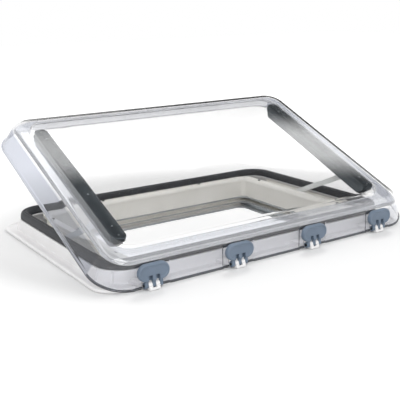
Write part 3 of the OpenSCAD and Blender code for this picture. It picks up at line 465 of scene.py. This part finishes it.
def spun(profile, place, sides=24):
    """A profile of (radius, height), from the axis below to the axis on top, spun about Z."""
    radius, high = np.asarray(profile, float).T
    turn = np.linspace(0, 2 * np.pi, sides, endpoint=False)
    points = np.stack([radius[:, None] * np.cos(turn), radius[:, None] * np.sin(turn),
                       np.broadcast_to(high[:, None], (len(high), sides))], -1)
    return gridded(points + np.asarray(place, float))


def smoothed(profile, times=2):
    """Cuts the corners of a closed profile: sides keep their points at 1/4 and 3/4."""
    profile = np.asarray(profile, float)
    for _ in range(times):
        after = np.roll(profile, -1, 0)
        cut = [0.75 * profile + 0.25 * after, 0.25 * profile + 0.75 * after]
        profile = np.stack(cut, 1).reshape(-1, 2)
    return profile


def turned(points, degrees, y0, z0):
    """Turns points about the line along X through (y0, z0)."""
    c, s = math.cos(math.radians(degrees)), math.sin(math.radians(degrees))
    x, y, z = np.moveaxis(np.asarray(points, float), -1, 0)
    y, z = y - y0, z - z0
    return np.stack([x, y0 + c * y - s * z, z0 + s * y + c * z], -1)


def opened(surface):
    """A surface of the shut dome, turned open about the hinge axis."""
    points, faces = surface
    return turned(points, OPEN_DEG, HINGE_Y, HINGE_Z), faces


def piece(name, surfaces, finish, body, replaces=(), sharp=38):
    """One object of surfaces (points, faces): doubles merged, edges past sharp degrees crisp."""
    starts = np.cumsum([0] + [np.size(points) // 3 for points, _ in surfaces])
    points = np.concatenate([np.reshape(points, (-1, 3)) for points, _ in surfaces]) * MM
    faces = [np.asarray(quads) + start for (_, quads), start in zip(surfaces, starts)]
    mesh = bpy.data.meshes.new(name)
    mesh.from_pydata(points.tolist(), [], np.concatenate(faces).tolist())
    work = bmesh.new()
    work.from_mesh(mesh)
    bmesh.ops.remove_doubles(work, verts=work.verts, dist=MERGE_M)
    loose = sum(len(edge.link_faces) != 2 for edge in work.edges)
    work.to_mesh(mesh)
    work.free()
    mesh.shade_smooth()
    mesh.set_sharp_from_angle(angle=math.radians(sharp))
    mesh.materials.append(finish)
    made = bpy.data.objects.new(name, mesh)
    bpy.context.scene.collection.objects.link(made)
    if body:
        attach(made, body)
    if replaces:
        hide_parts(*replaces)
    print(name, len(mesh.polygons), "faces,", loose, "open edges")
    return made


print("hinge axis at", HINGE_Y, HINGE_Z, "mm, opened by", OPEN_DEG, "degrees")

# %% [markdown]
# ## Outer frame
# The white frame is one moulding: a flange with a rounded bead along its edge, a wall that leans
# inwards, and a seat for the seal on top. It could be a bevelled copy of the solid part. A stack of
# rounded rectangles that walks once round its section gives rounder edges, and the ribs at the
# corners and the screw posts are added as small bodies.

# %% Outer frame
RING_CY = 12.0
FLANGE_X, FLANGE_Y, FLANGE_R, FLANGE_CY = 419.0, 284.5, 52.0, 2.5
WALL_X, WALL_Y, WALL_R, WALL_LEAN = 392.0, 265.0, 66.0, 4.0
LINER_X, LINER_Y, OPENING_R = 305.0, 216.0, 14.0
BASE_T, WALL_TOP, BEAD_H = 5.0, 30.0, 8.0

# Rows of the frame's section: offset from its flange, wall or inner edge, and height.
bead = [(-2.8, 0.0), (-2.6, 1.2), (-0.5, 1.6), (0.0, 2.3), (0.0, 5.0), (-0.25, 6.2), (-0.9, 7.2),
        (-1.9, 7.8), (-3.2, BEAD_H), (-6.4, BEAD_H), (-7.2, 7.7), (-7.6, 7.0), (-8.2, 5.6),
        (-9.2, BASE_T)]
wall = [(2.4, BASE_T), (1.0, 5.3), (0.2, 6.1), (-0.1, 7.4), (-3.6, 28.0), (-3.9, 29.2),
        (-4.6, 29.9), (-6.0, WALL_TOP), (-26.0, WALL_TOP), (-26.0, 27.0), (-9.0, 27.0),
        (-8.0, 26.0), (-4.0, BASE_T)]
base = [(3.3, BASE_T), (3.3, 0.0)]


def offset_rows(half_x, half_y, radius, centre_y, rows):
    """Ring sizes for rows of (offset, height): the offset widens both halves and the radius."""
    return np.array([(half_x + o, half_y + o, radius + o, centre_y, z) for o, z in rows])


section = np.concatenate([offset_rows(FLANGE_X, FLANGE_Y, FLANGE_R, FLANGE_CY, bead),
                          offset_rows(WALL_X, WALL_Y, WALL_R, RING_CY, wall),
                          offset_rows(LINER_X, LINER_Y, OPENING_R, RING_CY, base)])
frame_body = gridded(rings(*section.T, corner=16), True)

RIB_TURNS, RIB_ROOT = (12, 45), 2
SIGNS = [(sx, sy) for sx in (1, -1) for sy in (1, -1)]
SCREW_POINTS = ((318.0, 159.84), (152.5, 229.0))
CLAMP_X, CLAMP_PITCH, NEAR_CLAMP_X, NEAR_CLAMP_Y = 344.0, 150.8, 179.14, -235.0
screw_post = [(0, 4), (4.5, 4), (4.5, 29), (4.0, 29.7), (0, 29.7)]
clamp_post = [(0, -12), (4.4, -12), (5, -11.4), (5, 4.5), (0, 4.5)]


def corner_rib(turn_deg, sx, sy):
    """Rib on a wall corner: a rounded bar that follows the leaning wall, turned into place."""
    across = np.array([-3.2, -2.9, -2.2, 2.2, 2.9, 3.2])
    proud = np.array([0.0, 3.9, 5.0, 5.0, 3.9, 0.0])
    high = np.array([4.6, 8.0, 24.0, 27.0, 28.4])[:, None]
    fade = np.array([1.0, 1.0, 0.75, 0.55, 0.0])[:, None]
    face = WALL_R - np.interp(high, [6.0, WALL_TOP], [0.0, WALL_LEAN])
    front = np.stack(np.broadcast_arrays(face + proud * fade, across, high), -1)
    back = np.stack(np.broadcast_arrays(face - RIB_ROOT, across[::-1], high), -1)
    loop = np.concatenate([front, back], 1)
    low, top = (np.broadcast_to(row.mean(1, keepdims=True), row.shape)
                for row in (loop[:1], loop[-1:]))
    x, y, z = np.moveaxis(np.concatenate([low, loop, top]), -1, 0)
    c, s = math.cos(math.radians(turn_deg)), math.sin(math.radians(turn_deg))
    local_x, local_y = c * x - s * y + WALL_X - WALL_R, s * x + c * y + WALL_Y - WALL_R
    points, faces = gridded(np.stack([sx * local_x, RING_CY + sy * local_y, z], -1))
    return points, faces if sx * sy > 0 else faces[:, ::-1]


ribs = [corner_rib(turn, sx, sy) for turn in RIB_TURNS for sx, sy in SIGNS]
screw_places = [(sx * x, RING_CY + sy * y) for x, y in SCREW_POINTS for sx, sy in SIGNS]
clamp_places = [(sx * CLAMP_X, RING_CY + k * CLAMP_PITCH) for sx in (1, -1) for k in (-1, 0, 1)]
clamp_places += [(sx * NEAR_CLAMP_X, NEAR_CLAMP_Y) for sx in (1, -1)]
posts = [spun(screw_post, (x, y, 0)) for x, y in screw_places]
posts += [spun(clamp_post, (x, y, 0)) for x, y in clamp_places]
piece("roof_frame", [frame_body, *ribs, *posts], white_abs, "frame",
      ["outer_frame"])

# %% [markdown]
# ## Seal
# A hollow rubber seal with two soft lips sits on the wall, and the shut dome presses on it. Its
# solid has straight facets, so the same cross-section is drawn again with its corners cut twice,
# which makes the lips round, and is then carried round the frame.

# %% Seal
SEAL_X, SEAL_Y, SEAL_R, SEAL_H = 386, 259, 60, 18
seal_section = [(0, 0), (0.4, 4), (0, 9.5), (-2, 15.2), (-5.5, 18.4), (-8.3, 17.6), (-10, 15.4),
                (-11.7, 17.6), (-14.5, 18.4), (-18, 15.2), (-20, 9.5), (-20.4, 4), (-20, 0),
                (-10, -0.2)]
seal_section = smoothed(seal_section) + (0, WALL_TOP)
seal_section[:, 1] = np.clip(seal_section[:, 1], WALL_TOP, WALL_TOP + SEAL_H)
piece("rubber_seal", [closed_ring(SEAL_X, SEAL_Y, SEAL_R, RING_CY, seal_section)], seal_rubber,
      "frame", ["rim_seal"], sharp=60)

# %% [markdown]
# ## Liner
# Inside the wall hangs the cream liner: four mitred lengths with a rounded lip on top and a fine
# step below it, where the lip's return meets the flat wall. As one profile carried round the
# opening it keeps the soft highlight of the lip unbroken.

# %% Liner
LIP_R, LIP_Z, LINER_T = 10, 23, 3
over = np.radians(np.linspace(90, 180, 10))
under = np.radians(np.linspace(180, 90, 8))
under_r = LIP_R - LINER_T
liner_section = [(0.9, -21.6), (1.3, -22), (3, -22)]
liner_section += list(zip(LIP_R + under_r * np.cos(under), LIP_Z + under_r * np.sin(under)))
liner_section += [(20, 30), (20, 25), (23, 25), (23, 31.6), (22.5, 32.6), (21.5, 33)]
liner_section += list(zip(LIP_R + LIP_R * np.cos(over), LIP_Z + LIP_R * np.sin(over)))
liner_section += [(0, 21.4), (0.25, 20.9), (0.9, 20.6), (0.9, 19.6)]
piece("cream_liner", [closed_ring(LINER_X, LINER_Y, OPENING_R, RING_CY, liner_section)], cream_abs,
      "frame", ["inner_liner"])

# %% [markdown]
# ## Grey lips below the liner
# Below the liner three thin grey lips step inwards, one under the other, with rounder corners than
# the liner's. They belong to the plates of the lower frame, between which the blinds run, so each
# lip is only as thick as its plate. Its outer edge follows the opening, its inner edge is drawn in.

# %% Grey lips below the liner
TUCK, GREY_LIP_R, LONG_SIDE_SHARE = 1.5, 26.0, 0.36


def grey_lip(reach, z0, z1):
    """Thin rounded lip: rows run along its underside, over its inner edge and back along its top.

    On the long sides it reaches only a third as far, so that the clear opening keeps its width.
    """
    inwards = np.array([-TUCK, -TUCK, reach - 0.6, reach - 0.2, reach, reach, reach - 0.2,
                        reach - 0.6])
    share = np.array([0, 1, 1, 0.9, 0.65, 0.35, 0.1, 0])
    tucked = inwards < 0
    radius = np.where(tucked, OPENING_R + TUCK, GREY_LIP_R)
    inwards_y = np.where(tucked, inwards, LONG_SIDE_SHARE * inwards)
    high = z0 + (z1 - z0) * share
    return gridded(rings(LINER_X - inwards, LINER_Y - inwards_y, radius, RING_CY, high), True)


lips = [grey_lip(4, -25.2, -22.2), grey_lip(8, -38.9, -37.2), grey_lip(12, -55.0, -51.2)]
piece("grey_inner_lips", lips, lip_abs, "frame")

# %% [markdown]
# ## Outer dome
# The outer pane is thermoformed: a flared lip, a leaning skirt, a rounded shoulder and a gently
# crowned top. It could be a subdivided box, but the shoulder's curve and the sheet's thickness
# decide how its edges refract, so both faces are computed: rows from the lip to the middle, first
# up the skirt, then along a quadratic curve over the shoulder, then inwards over the crown. On the
# hinge side each cover sits in a shallow pocket, and the skirt is notched for the knuckles.

# %% Outer dome
DOME_X, DOME_Y, RIM_R, TOP_R, CROWN = 428.0, 300.5, 75.0, 18, 5.5
SKIRT_Z0, SKIRT_Z1, LEAN_0, LEAN_1 = 9.0, 46.0, 4.0, 19.5
INNER_Z1, INNER_LEAN_0, INNER_LEAN_1 = 44.6, 7.79, 23.3
SKIRT_SLOPE = (LEAN_1 - LEAN_0) / (SKIRT_Z1 - SKIRT_Z0)
NOTCH_HALF, NOTCH_TOP, NEAR_Y = 24.25, 20.0, -200.0
POCKET_HALF, POCKET_EDGE, POCKET_DEPTH = 37.5, 3.0, 1.4
POCKET_FADE_0, POCKET_FADE_1 = 47, 56
OUTER_SHOULDER = (LEAN_1, SKIRT_Z1), (26.2, 62), (46, 64.5)
INNER_SHOULDER = (INNER_LEAN_1, INNER_Z1), (30.0, 58.5), (47.05, 61)

hinge_xs = np.array([-316.0, -108.0, 100.0, 308.0])
between_xs = [-212, -184, -160, -34, -4, 26, 152, 176, 204]
pocket_side = np.append(32.0, np.linspace(POCKET_HALF, POCKET_HALF + POCKET_EDGE, 6))
in_notch = [-NOTCH_HALF, -12, 0, 12, NOTCH_HALF]
around_hinge = np.concatenate([-pocket_side[::-1], in_notch, pocket_side])
near_x = np.sort(np.append((hinge_xs[:, None] + around_hinge).ravel(), between_xs))
near_x = near_x[np.abs(near_x) < DOME_X - RIM_R - 0.5]

skirt_z = np.array([9.4, 11, 13, 16, NOTCH_TOP, 24, 28, 32, 36, 40, 43, SKIRT_Z1])
shoulder_t = np.linspace(0, 1, 49)[1:]
crown_s = np.array([0.99, 0.97, 0.93, 0.86, 0.75, 0.6, 0.45, 0.3, 0.15, 0.0])


def curve(b, c, d, t):
    """Quadratic curve from b to d that leaves and arrives along the lines to c."""
    b, c, d, t = np.array(b, float), np.array(c, float), np.array(d, float), t[:, None]
    return (1 - t) ** 2 * b + 2 * t * (1 - t) * c + t ** 2 * d


def smooth_step(value, low, high):
    """0 below low, 1 above high, with a smooth rise of 3 t^2 - 2 t^3 between."""
    t = np.clip((value - low) / (high - low), 0, 1)
    return t * t * (3 - 2 * t)


def crowned(flat, middle, rise):
    """Rings and their crown: the last ring scaled by s about the middle, lifted by 1 - s^2."""
    s = crown_s[:, None, None]
    top = middle + s * (flat[-1] - middle)
    top[..., 2] = flat[-1, 0, 2] + rise * (1 - s * s)[..., 0]
    return np.concatenate([flat, top])


def dome_stack(lip_rows, skirt, shoulder):
    """Rings for rows of (inset, height) over lip, skirt and shoulder, crowned, with the pockets."""
    inset, high = np.concatenate([lip_rows, skirt, curve(*shoulder, shoulder_t)]).T
    stack = crowned(rings(DOME_X - inset, DOME_Y - inset, np.maximum(RIM_R - inset, TOP_R), 0, high,
                          near=near_x, corner=16), np.zeros(3), CROWN)
    x, y, z = np.moveaxis(stack, -1, 0)
    gap = np.abs(x[..., None] - hinge_xs).min(-1)
    pocket = 1 - smooth_step(gap, POCKET_HALF, POCKET_HALF + POCKET_EDGE)
    pocket = pocket * (1 - smooth_step(z, POCKET_FADE_0, POCKET_FADE_1)) * (y < NEAR_Y)
    stack[..., 1] += POCKET_DEPTH * pocket
    return stack


outer_lip = [(0.9, 4.5), (0.25, 4.75), (0, 5.4), (0, 7.2), (0.3, 8.0), (1.3, 8.5), (3.3, 8.9)]
inner_lip = [(2.9, 4.5), (3.5, 4.75), (3.95, 5.4), (5.3, 6.9), (6.1, 7.7), (6.9, 8.4), (7.5, 8.8)]
outer_skirt = np.column_stack([LEAN_0 + (skirt_z - SKIRT_Z0) * SKIRT_SLOPE, skirt_z])
inner_share = (skirt_z - SKIRT_Z0) / (SKIRT_Z1 - SKIRT_Z0)
inner_skirt = np.column_stack([INNER_LEAN_0 + (INNER_LEAN_1 - INNER_LEAN_0) * inner_share,
                               SKIRT_Z0 + (INNER_Z1 - SKIRT_Z0) * inner_share])
outer_face = dome_stack(outer_lip, outer_skirt, OUTER_SHOULDER)
inner_face = dome_stack(inner_lip, inner_skirt, INNER_SHOULDER)

rim_x, rim_y = outer_face[0, :, 0], outer_face[0, :, 1]
mid_x = (rim_x + np.roll(rim_x, -1)) / 2
at_hinge = (np.abs(mid_x[:, None] - hinge_xs).min(1) < NOTCH_HALF) & (rim_y < NEAR_Y)
low_row = outer_face[1:, 0, 2] <= NOTCH_TOP + 0.01
keep = ~(low_row[:, None] & at_hinge[None])
clear_dome = piece("clear_dome", [opened(shell(outer_face, inner_face, keep))], clear_acrylic,
                   "dome", ["outer_dome"], sharp=50)
clear_dome.visible_shadow = False

# %% [markdown]
# ## Finishes on the dome
# The dome is one sheet, but its skirt gets a painted shade, stronger and lavender on the left and
# right, and its near lip a painted shadow, nearly black. A gradient in the material could do this
# too, but the zones follow the mesh, so each gets its own finish.
# Neither pane casts a shadow, because a plain shadow ray would not pass a refracting sheet.

# %% Finishes on the dome
SIDE_X, SKIRT_TOP, SIDE_TOP, LIP_SHADOW_TOP = 390, 48, 50, 6.6


def face_middles(made):
    """Middles of a mesh's faces in mm, with the dome turned shut again."""
    flat = np.empty(3 * len(made.data.polygons))
    made.data.polygons.foreach_get("center", flat)
    return turned(flat.reshape(-1, 3) / MM, -OPEN_DEG, HINGE_Y, HINGE_Z)


def more_finishes(made, zones):
    """Gives zones of (finish, chosen faces) to a piece; where two overlap the later one stays."""
    index = np.zeros(len(made.data.polygons), np.int32)
    for finish, chosen in zones:
        made.data.materials.append(finish)
        index[chosen] = len(made.data.materials) - 1
    made.data.polygons.foreach_set("material_index", index)
    print(made.name, "faces by finish", np.bincount(index).tolist())


dome_x, dome_y, dome_z = face_middles(clear_dome).T
near_side = dome_y < RIM_R - DOME_Y
on_side = (np.abs(dome_x) > SIDE_X) & ~near_side
# The near lip's nearly black finish is a painted shadow under the lip.
# The skirt's two finishes are painted shade, darker on the left and right sides.
more_finishes(clear_dome, [(skirt_shade_acrylic, dome_z < SKIRT_TOP),
                           (side_shade_acrylic, (dome_z < SIDE_TOP) & on_side),
                           (lip_shadow_acrylic, (dome_z < LIP_SHADOW_TOP) & near_side)])

# %% [markdown]
# ## Inner pane
# The second pane is a shallow tray under the dome: a flat rim welded to the outer pane, a step up,
# and a raised field that carries the rails. It is made like the dome, as two stacks of rings. Its
# rim gets the hazy acrylic, because the weld scatters light.

# %% Inner pane
PANE_CROWN, PANE_RIM_TOP, PANE_STEP_T, PANE_RIM_ROWS = 4.5, 51, 2, 3
# Rows of half length, half width and corner radius; the rim's rows have the dome's centre.
pane_rows = np.array([(399.9, 272.4, 46.9), (399.2, 271.7, 46.2), (387, 259.5, 40), (373, 246, 47),
                      (371, 244, 45), (370.3, 243.3, 44.3), (368.8, 241.8, 42.8),
                      (368.1, 241.1, 42.1), (366.3, 239.3, 40.3)])
pane_cy = np.where(np.arange(len(pane_rows)) < PANE_RIM_ROWS, 0, RING_CY)
pane_top = np.array([50.0, 50.5, 50.5, 50.5, 50.8, 51.6, 58.0, 59.3, 60.0])
pane_under = np.array([49.0, 48.5, 48.5, 48.5, 48.8, 49.6, 56.0, 57.3, 58.0])
under_rows = pane_rows.copy()
under_rows[PANE_RIM_ROWS:] -= PANE_STEP_T
pane_middle = np.array([0, RING_CY, 0])
pane_faces = [crowned(rings(*rows.T, pane_cy, high, corner=14), pane_middle, PANE_CROWN)
              for rows, high in ((pane_rows, pane_top), (under_rows, pane_under))]
clear_pane = piece("clear_inner_pane", [opened(shell(*pane_faces))], clear_acrylic, "dome",
                   ["inner_pane"], sharp=50)
clear_pane.visible_shadow = False
more_finishes(clear_pane, [(matt_acrylic, face_middles(clear_pane)[:, 2] < PANE_RIM_TOP)])

# %% [markdown]
# ## Rails and their screws
# Two dark aluminium rails stiffen the pane and carry the arms. Each is an open channel with slanted
# ends and a fine step along its sides. As a stack of plan outlines by height the slants come from
# the outline's length at each height. The screw tips show as small bright domes in its top face.

# %% Rails and their screws
RAIL_X, RAIL_CY, RAIL_W, RAIL_WALL, RAIL_CORNER_R = 347.0, 6.0, 16.5, 3.8, 12
RAIL_LOW, RAIL_MID, RAIL_TOP = 27.7, 45.7, 57.7
RAIL_HALF_LOW, RAIL_HALF = 199.0, 211.0
CHANNEL_W, CHANNEL_HALF, CHANNEL_TOP, CHANNEL_R = RAIL_W - RAIL_WALL, 193, 54.7, 2
RAIL_SCREW_YS = (-199.5, -169.5, -56.5, 56.5, 169.5, 199.5)

rail_z = np.array([RAIL_LOW, 28.0, 29.2, 42.0, 42.8, 43.6, RAIL_MID, 55.9, 56.8, 57.4, RAIL_TOP,
                   RAIL_TOP])
rail_in = np.array([1.6, 0.9, 0.8, 0.8, 0.6, 0.0, 0.0, 0.0, 0.25, 0.8, 1.5, RAIL_W])
rail_half = np.interp(rail_z, [RAIL_LOW, RAIL_MID], [RAIL_HALF_LOW, RAIL_HALF]) - rail_in
rail_outer = rings(RAIL_W - rail_in, rail_half, np.maximum(RAIL_CORNER_R - rail_in, 0), RAIL_CY,
                   rail_z)
last = len(rail_z) - 1
channel_z = np.append(np.linspace(RAIL_LOW, CHANNEL_TOP, last), CHANNEL_TOP)
channel_w = np.append(np.full(last, CHANNEL_W), 0.0)
rail_inner = rings(channel_w, CHANNEL_HALF - (CHANNEL_W - channel_w),
                   np.minimum(CHANNEL_R, channel_w), RAIL_CY, channel_z)
screw_tip = [(0, 52.6), (3.1, 52.6), (3.6, 53.1), (3.6, 54.4), (2.0, 54.5), (2.0, 57.5),
             (2.5, 57.6), (2.4, 57.9), (1.4, 58.0), (0.6, 58.0), (0.5, 57.8), (0, 57.8)]
for side, word in ((-1, "left"), (1, "right")):
    shift = np.array([side * RAIL_X, 0, 0])
    piece(word + "_stiffening_rail", [opened(shell(rail_outer + shift, rail_inner + shift))],
          dark_anodised, "dome", [word + "_rail"])
    tips = [opened(spun(screw_tip, (side * RAIL_X, RAIL_CY + y, 0), 20)) for y in RAIL_SCREW_YS]
    piece(word + "_rail_screw_set", tips, zinc_steel, "dome", [word + "_rail_screws"])

# %% [markdown]
# ## Hinge covers
# Four blue-grey covers carry the dome's near skirt on the pins. Each is a stadium-shaped cap with a
# thick rounded rim and a dished middle, and three legs that reach down round the pin. The cap is a
# stack of stadium outlines walked from its back over the rim to the middle of the dish; each leg is
# a rounded bar with a bore, made as one closed grid.

# %% Hinge covers
SKIRT_DEG = math.degrees(math.atan(SKIRT_SLOPE))
CAP_Z, CAP_R, CAP_STRAIGHT, END_POINTS = 27.0, 18.0, 17.0, 21
LEG_PITCH, LEG_HALF, SLOT_HALF, SLOT_TOP, SLOT_FLOOR = 16.5, 3.75, 4.2, 21.0, 0.4
KNUCKLE_R, BORE_R, KNUCKLE_START, KNUCKLE_END = 6.5, 3.06, 153.2, 456.5

# Rows of the cap: inset from its outline, and place along Y from the pin.
cap_inset, cap_depth = np.array([
    (18, 1.2), (9, 1.2), (1.6, 1.2), (0.7, 1.0), (0.1, 0.4), (0, -0.4), (0, -5.6), (0.25, -6.9),
    (0.9, -7.9), (1.9, -8.6), (3.0, -8.9), (4.0, -8.75), (4.8, -8.2), (5.3, -7.6), (6.2, -7.2),
    (8, -7.05), (11.8, -6.95), (12.1, -6.95), (18, -6.9)]).T[..., None]
straight = np.array([-12.7, -12.4, -8.25, -4.1, -3.8, 0, 3.8, 4.1, 8.25, 12.4, 12.7])
level_run = np.full(len(straight), 90)
ends = np.radians(np.concatenate([np.linspace(-90, 90, END_POINTS), level_run,
                                  np.linspace(90, 270, END_POINTS), level_run + 180]))
centres = np.concatenate([np.full(END_POINTS, CAP_STRAIGHT), straight[::-1],
                          np.full(END_POINTS, -CAP_STRAIGHT), straight])
cap_x = centres + (CAP_R - cap_inset) * np.cos(ends)
cap_z = CAP_Z + (CAP_R - cap_inset) * np.sin(ends)
in_slot = (np.abs(np.abs(cap_x) - LEG_PITCH / 2) < SLOT_HALF) & (cap_z < SLOT_TOP)
cap_y = np.where(in_slot, np.maximum(cap_depth, SLOT_FLOOR), cap_depth)
cap = np.stack([cap_x, cap_y, cap_z], -1)


def circle(degrees):
    """Unit vectors (cos, sin) at these angles."""
    return np.stack([np.cos(np.radians(degrees)), np.sin(np.radians(degrees))], -1)


leg_top = [(-0.74, 9), (-0.74, 15), (-1.6, 16), (-4.9, 16), (-5.8, 15), (-5.8, 9)]
knuckle = np.linspace(KNUCKLE_START, KNUCKLE_END, 34)
leg_loop = np.concatenate([KNUCKLE_R * circle(knuckle), leg_top])
along = np.roll(leg_loop, -1, 0) - np.roll(leg_loop, 1, 0)
outwards = np.stack([along[:, 1], -along[:, 0]], -1) / np.linalg.norm(along, axis=1, keepdims=True)
bore_turn = np.linspace(KNUCKLE_START, KNUCKLE_START + 360, len(leg_loop), endpoint=False)
bore = BORE_R * circle(bore_turn)
half_leg = [(bore, 1.0), (leg_loop - 1.1 * outwards, 1.0), (leg_loop - 0.3 * outwards, 0.93),
            (leg_loop, 0.75)]
leg_rows = [(loop, -share) for loop, share in half_leg] + half_leg[::-1]
leg = np.array([np.column_stack([np.full(len(loop), share * LEG_HALF), loop])
                for loop, share in leg_rows])


def on_skirt(surface, hinge_x):
    """From a cover's own frame at its pin to the open dome: tipped to the skirt, then opened."""
    points, faces = surface
    placed = points + np.array([hinge_x, HINGE_Y, HINGE_Z])
    return opened((turned(placed, -SKIRT_DEG, HINGE_Y, HINGE_Z), faces))


cover = [gridded(cap)] + [gridded(leg + (k * LEG_PITCH, 0, 0), True) for k in (-1, 0, 1)]
for number, hinge_x in enumerate(hinge_xs, 1):
    piece(f"hinge_cap_{number}", [on_skirt(part, hinge_x) for part in cover], blue_grey_asa, "dome",
          [f"hinge_cover_{number}"], sharp=45)

# %% [markdown]
# ## Hinge bases
# Each white base shows between the legs as a small U: two fronts over the pin's knuckles and a bar
# below that joins them. The solid base already has the knuckles and the foot, so only this front is
# added, as three rounded blocks: stacks of rounded rectangles that shrink to a line at both ends.

# %% Hinge bases
FRONT_LOW, POST_HALF, POST_DEEP, POST_TOP, POST_Y = 0.6, 3.9, 1.6, 9.8, HINGE_Y - 7.4
BAR_DEEP, BAR_TOP, BAR_Y = 1.3, 6.0, HINGE_Y - 8.2


def block(x, y, half_x, half_y, z0, z1, r=0.8):
    """Rounded block: outlines from a line at z0, over the full size, to a line at z1."""
    shut = min(half_x, half_y)
    inset = np.array([shut, r, 0.3 * r, 0, 0, 0.3 * r, r, shut])
    high = np.array([z0, z0, z0 + 0.3 * r, z0 + r, z1 - r, z1 - 0.3 * r, z1, z1])
    stack = rings(half_x - inset, half_y - inset, np.maximum(r - inset, 0), 0, high, corner=4)
    return gridded(stack + np.array([x, y, 0]))


for number, hinge_x in enumerate(hinge_xs, 1):
    fronts = [block(hinge_x + shift, POST_Y, POST_HALF, POST_DEEP, FRONT_LOW, POST_TOP)
              for shift in (-LEG_PITCH / 2, LEG_PITCH / 2)]
    bar = block(hinge_x, BAR_Y, LEG_PITCH / 2 + POST_HALF, BAR_DEEP, FRONT_LOW, BAR_TOP)
    piece(f"hinge_front_{number}", fronts + [bar], white_abs, "frame")

# %% [markdown]
# ## Folded blinds
# The blackout blind and the flyscreen are parked at the two ends of the opening as tight fans.
# Cloth simulation can't fold so tightly, and a machine presses these folds anyway, so the sheet is
# a zigzag: the fold number runs along X, the cloth's width along Y.

# %% Folded blinds
FOLDS, FAN_0, FAN_1, FAN_HALF = 64, 323.5, 334.5, 228.2
FAN_COLS, CLOTH_HALF_T = 13, 0.03


def fan(name, side, z_low, z_high, finish, node):
    """Zigzag sheet between two heights: point k lies at x0 + k step, low and high by turns."""
    k = np.arange(FOLDS + 1)
    x = FAN_0 + (FAN_1 - FAN_0) * k / FOLDS
    high = np.where(k % 2 == 0, z_low, z_high)
    loop_x = side * np.concatenate([x - CLOTH_HALF_T, (x + CLOTH_HALF_T)[::-1]])
    loop_z = np.concatenate([high, high[::-1]])
    width = RING_CY + np.linspace(-FAN_HALF, FAN_HALF, FAN_COLS)[:, None]
    points = np.stack(np.broadcast_arrays(loop_x, width, loop_z), -1)
    fold = np.arange(FOLDS)
    twin = 2 * FOLDS + 1 - fold
    lid = np.stack([fold, fold + 1, twin - 1, twin], -1)
    faces = np.concatenate([grid_faces(FAN_COLS, len(loop_x)), lid[:, ::-1],
                            lid + (FAN_COLS - 1) * len(loop_x)])
    faces = faces if side < 0 else faces[:, ::-1]
    sheet = piece(name, [(points, faces)], finish, None, [node], sharp=30)

    # The UV map: metres along the folded cloth, and across it.
    run = np.hypot((FAN_1 - FAN_0) / FOLDS, z_high - z_low) * MM
    place = np.empty(3 * len(sheet.data.vertices))
    sheet.data.vertices.foreach_get("co", place)
    corner = np.empty(len(sheet.data.loops), int)
    sheet.data.loops.foreach_get("vertex_index", corner)
    at = place.reshape(-1, 3)[corner]
    folds_along = (np.abs(at[:, 0]) / MM - FAN_0) / (FAN_1 - FAN_0) * FOLDS
    cloth = sheet.data.uv_layers.new(name="cloth")
    cloth.data.foreach_set("uv", np.column_stack([folds_along * run, at[:, 1]]).ravel())

    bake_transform(sheet)
    print(name, "flat", round(2 * FAN_HALF), "by", round(FOLDS * run / MM), "mm")


fan("blackout_fan", 1, -50.2, -39.5, blackout_cloth, "blackout_pleats")
fan("flyscreen_fan", -1, -36.7, -26.0, fly_mesh, "flyscreen_pleats")

# %% [markdown]
# ## Finishes of the solid parts
# The remaining parts have the right shape as they come, so they only get a finish. A table from
# finish to parts keeps that in one place, and each part's own material slots are filled from it.

# %% Finishes of the solid parts
numbers = (1, 2, 3, 4)
both = ("left", "right")
finishes = {
    white_abs: [f"hinge_base_{n}" for n in numbers] + ["ceiling_trim", "crank_arm"],
    cream_abs: ["inner_frame", "crank_gearbox"] + [f"{s}_arm_track" for s in both],
    seal_rubber: ["roof_gasket"],
    black_nylon: ["frame_screws"] + [f"{s}_{p}" for s in both for p in ("glide", "drive_cable")],
    black_steel: [f"hinge_pin_{n}" for n in numbers],
    zinc_steel: ["roof_clamps", "clamp_screws", "crank_shaft", "drive_pinion"]
                + [f"{s}_arm_pin" for s in both],
    dark_nylon: ["crank_knob"] + [f"{s}_arm_bracket" for s in both],
    arm_powder: [f"{s}_arm" for s in both],
    grey_anodised: ["blackout_bar", "flyscreen_bar"],
    grip_abs: ["blackout_grip", "flyscreen_grip"],
}
for finish, names in finishes.items():
    for name in names:
        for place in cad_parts[name].material_slots:
            place.material = finish
print("finished", sum(len(names) for names in finishes.values()), "solid parts")
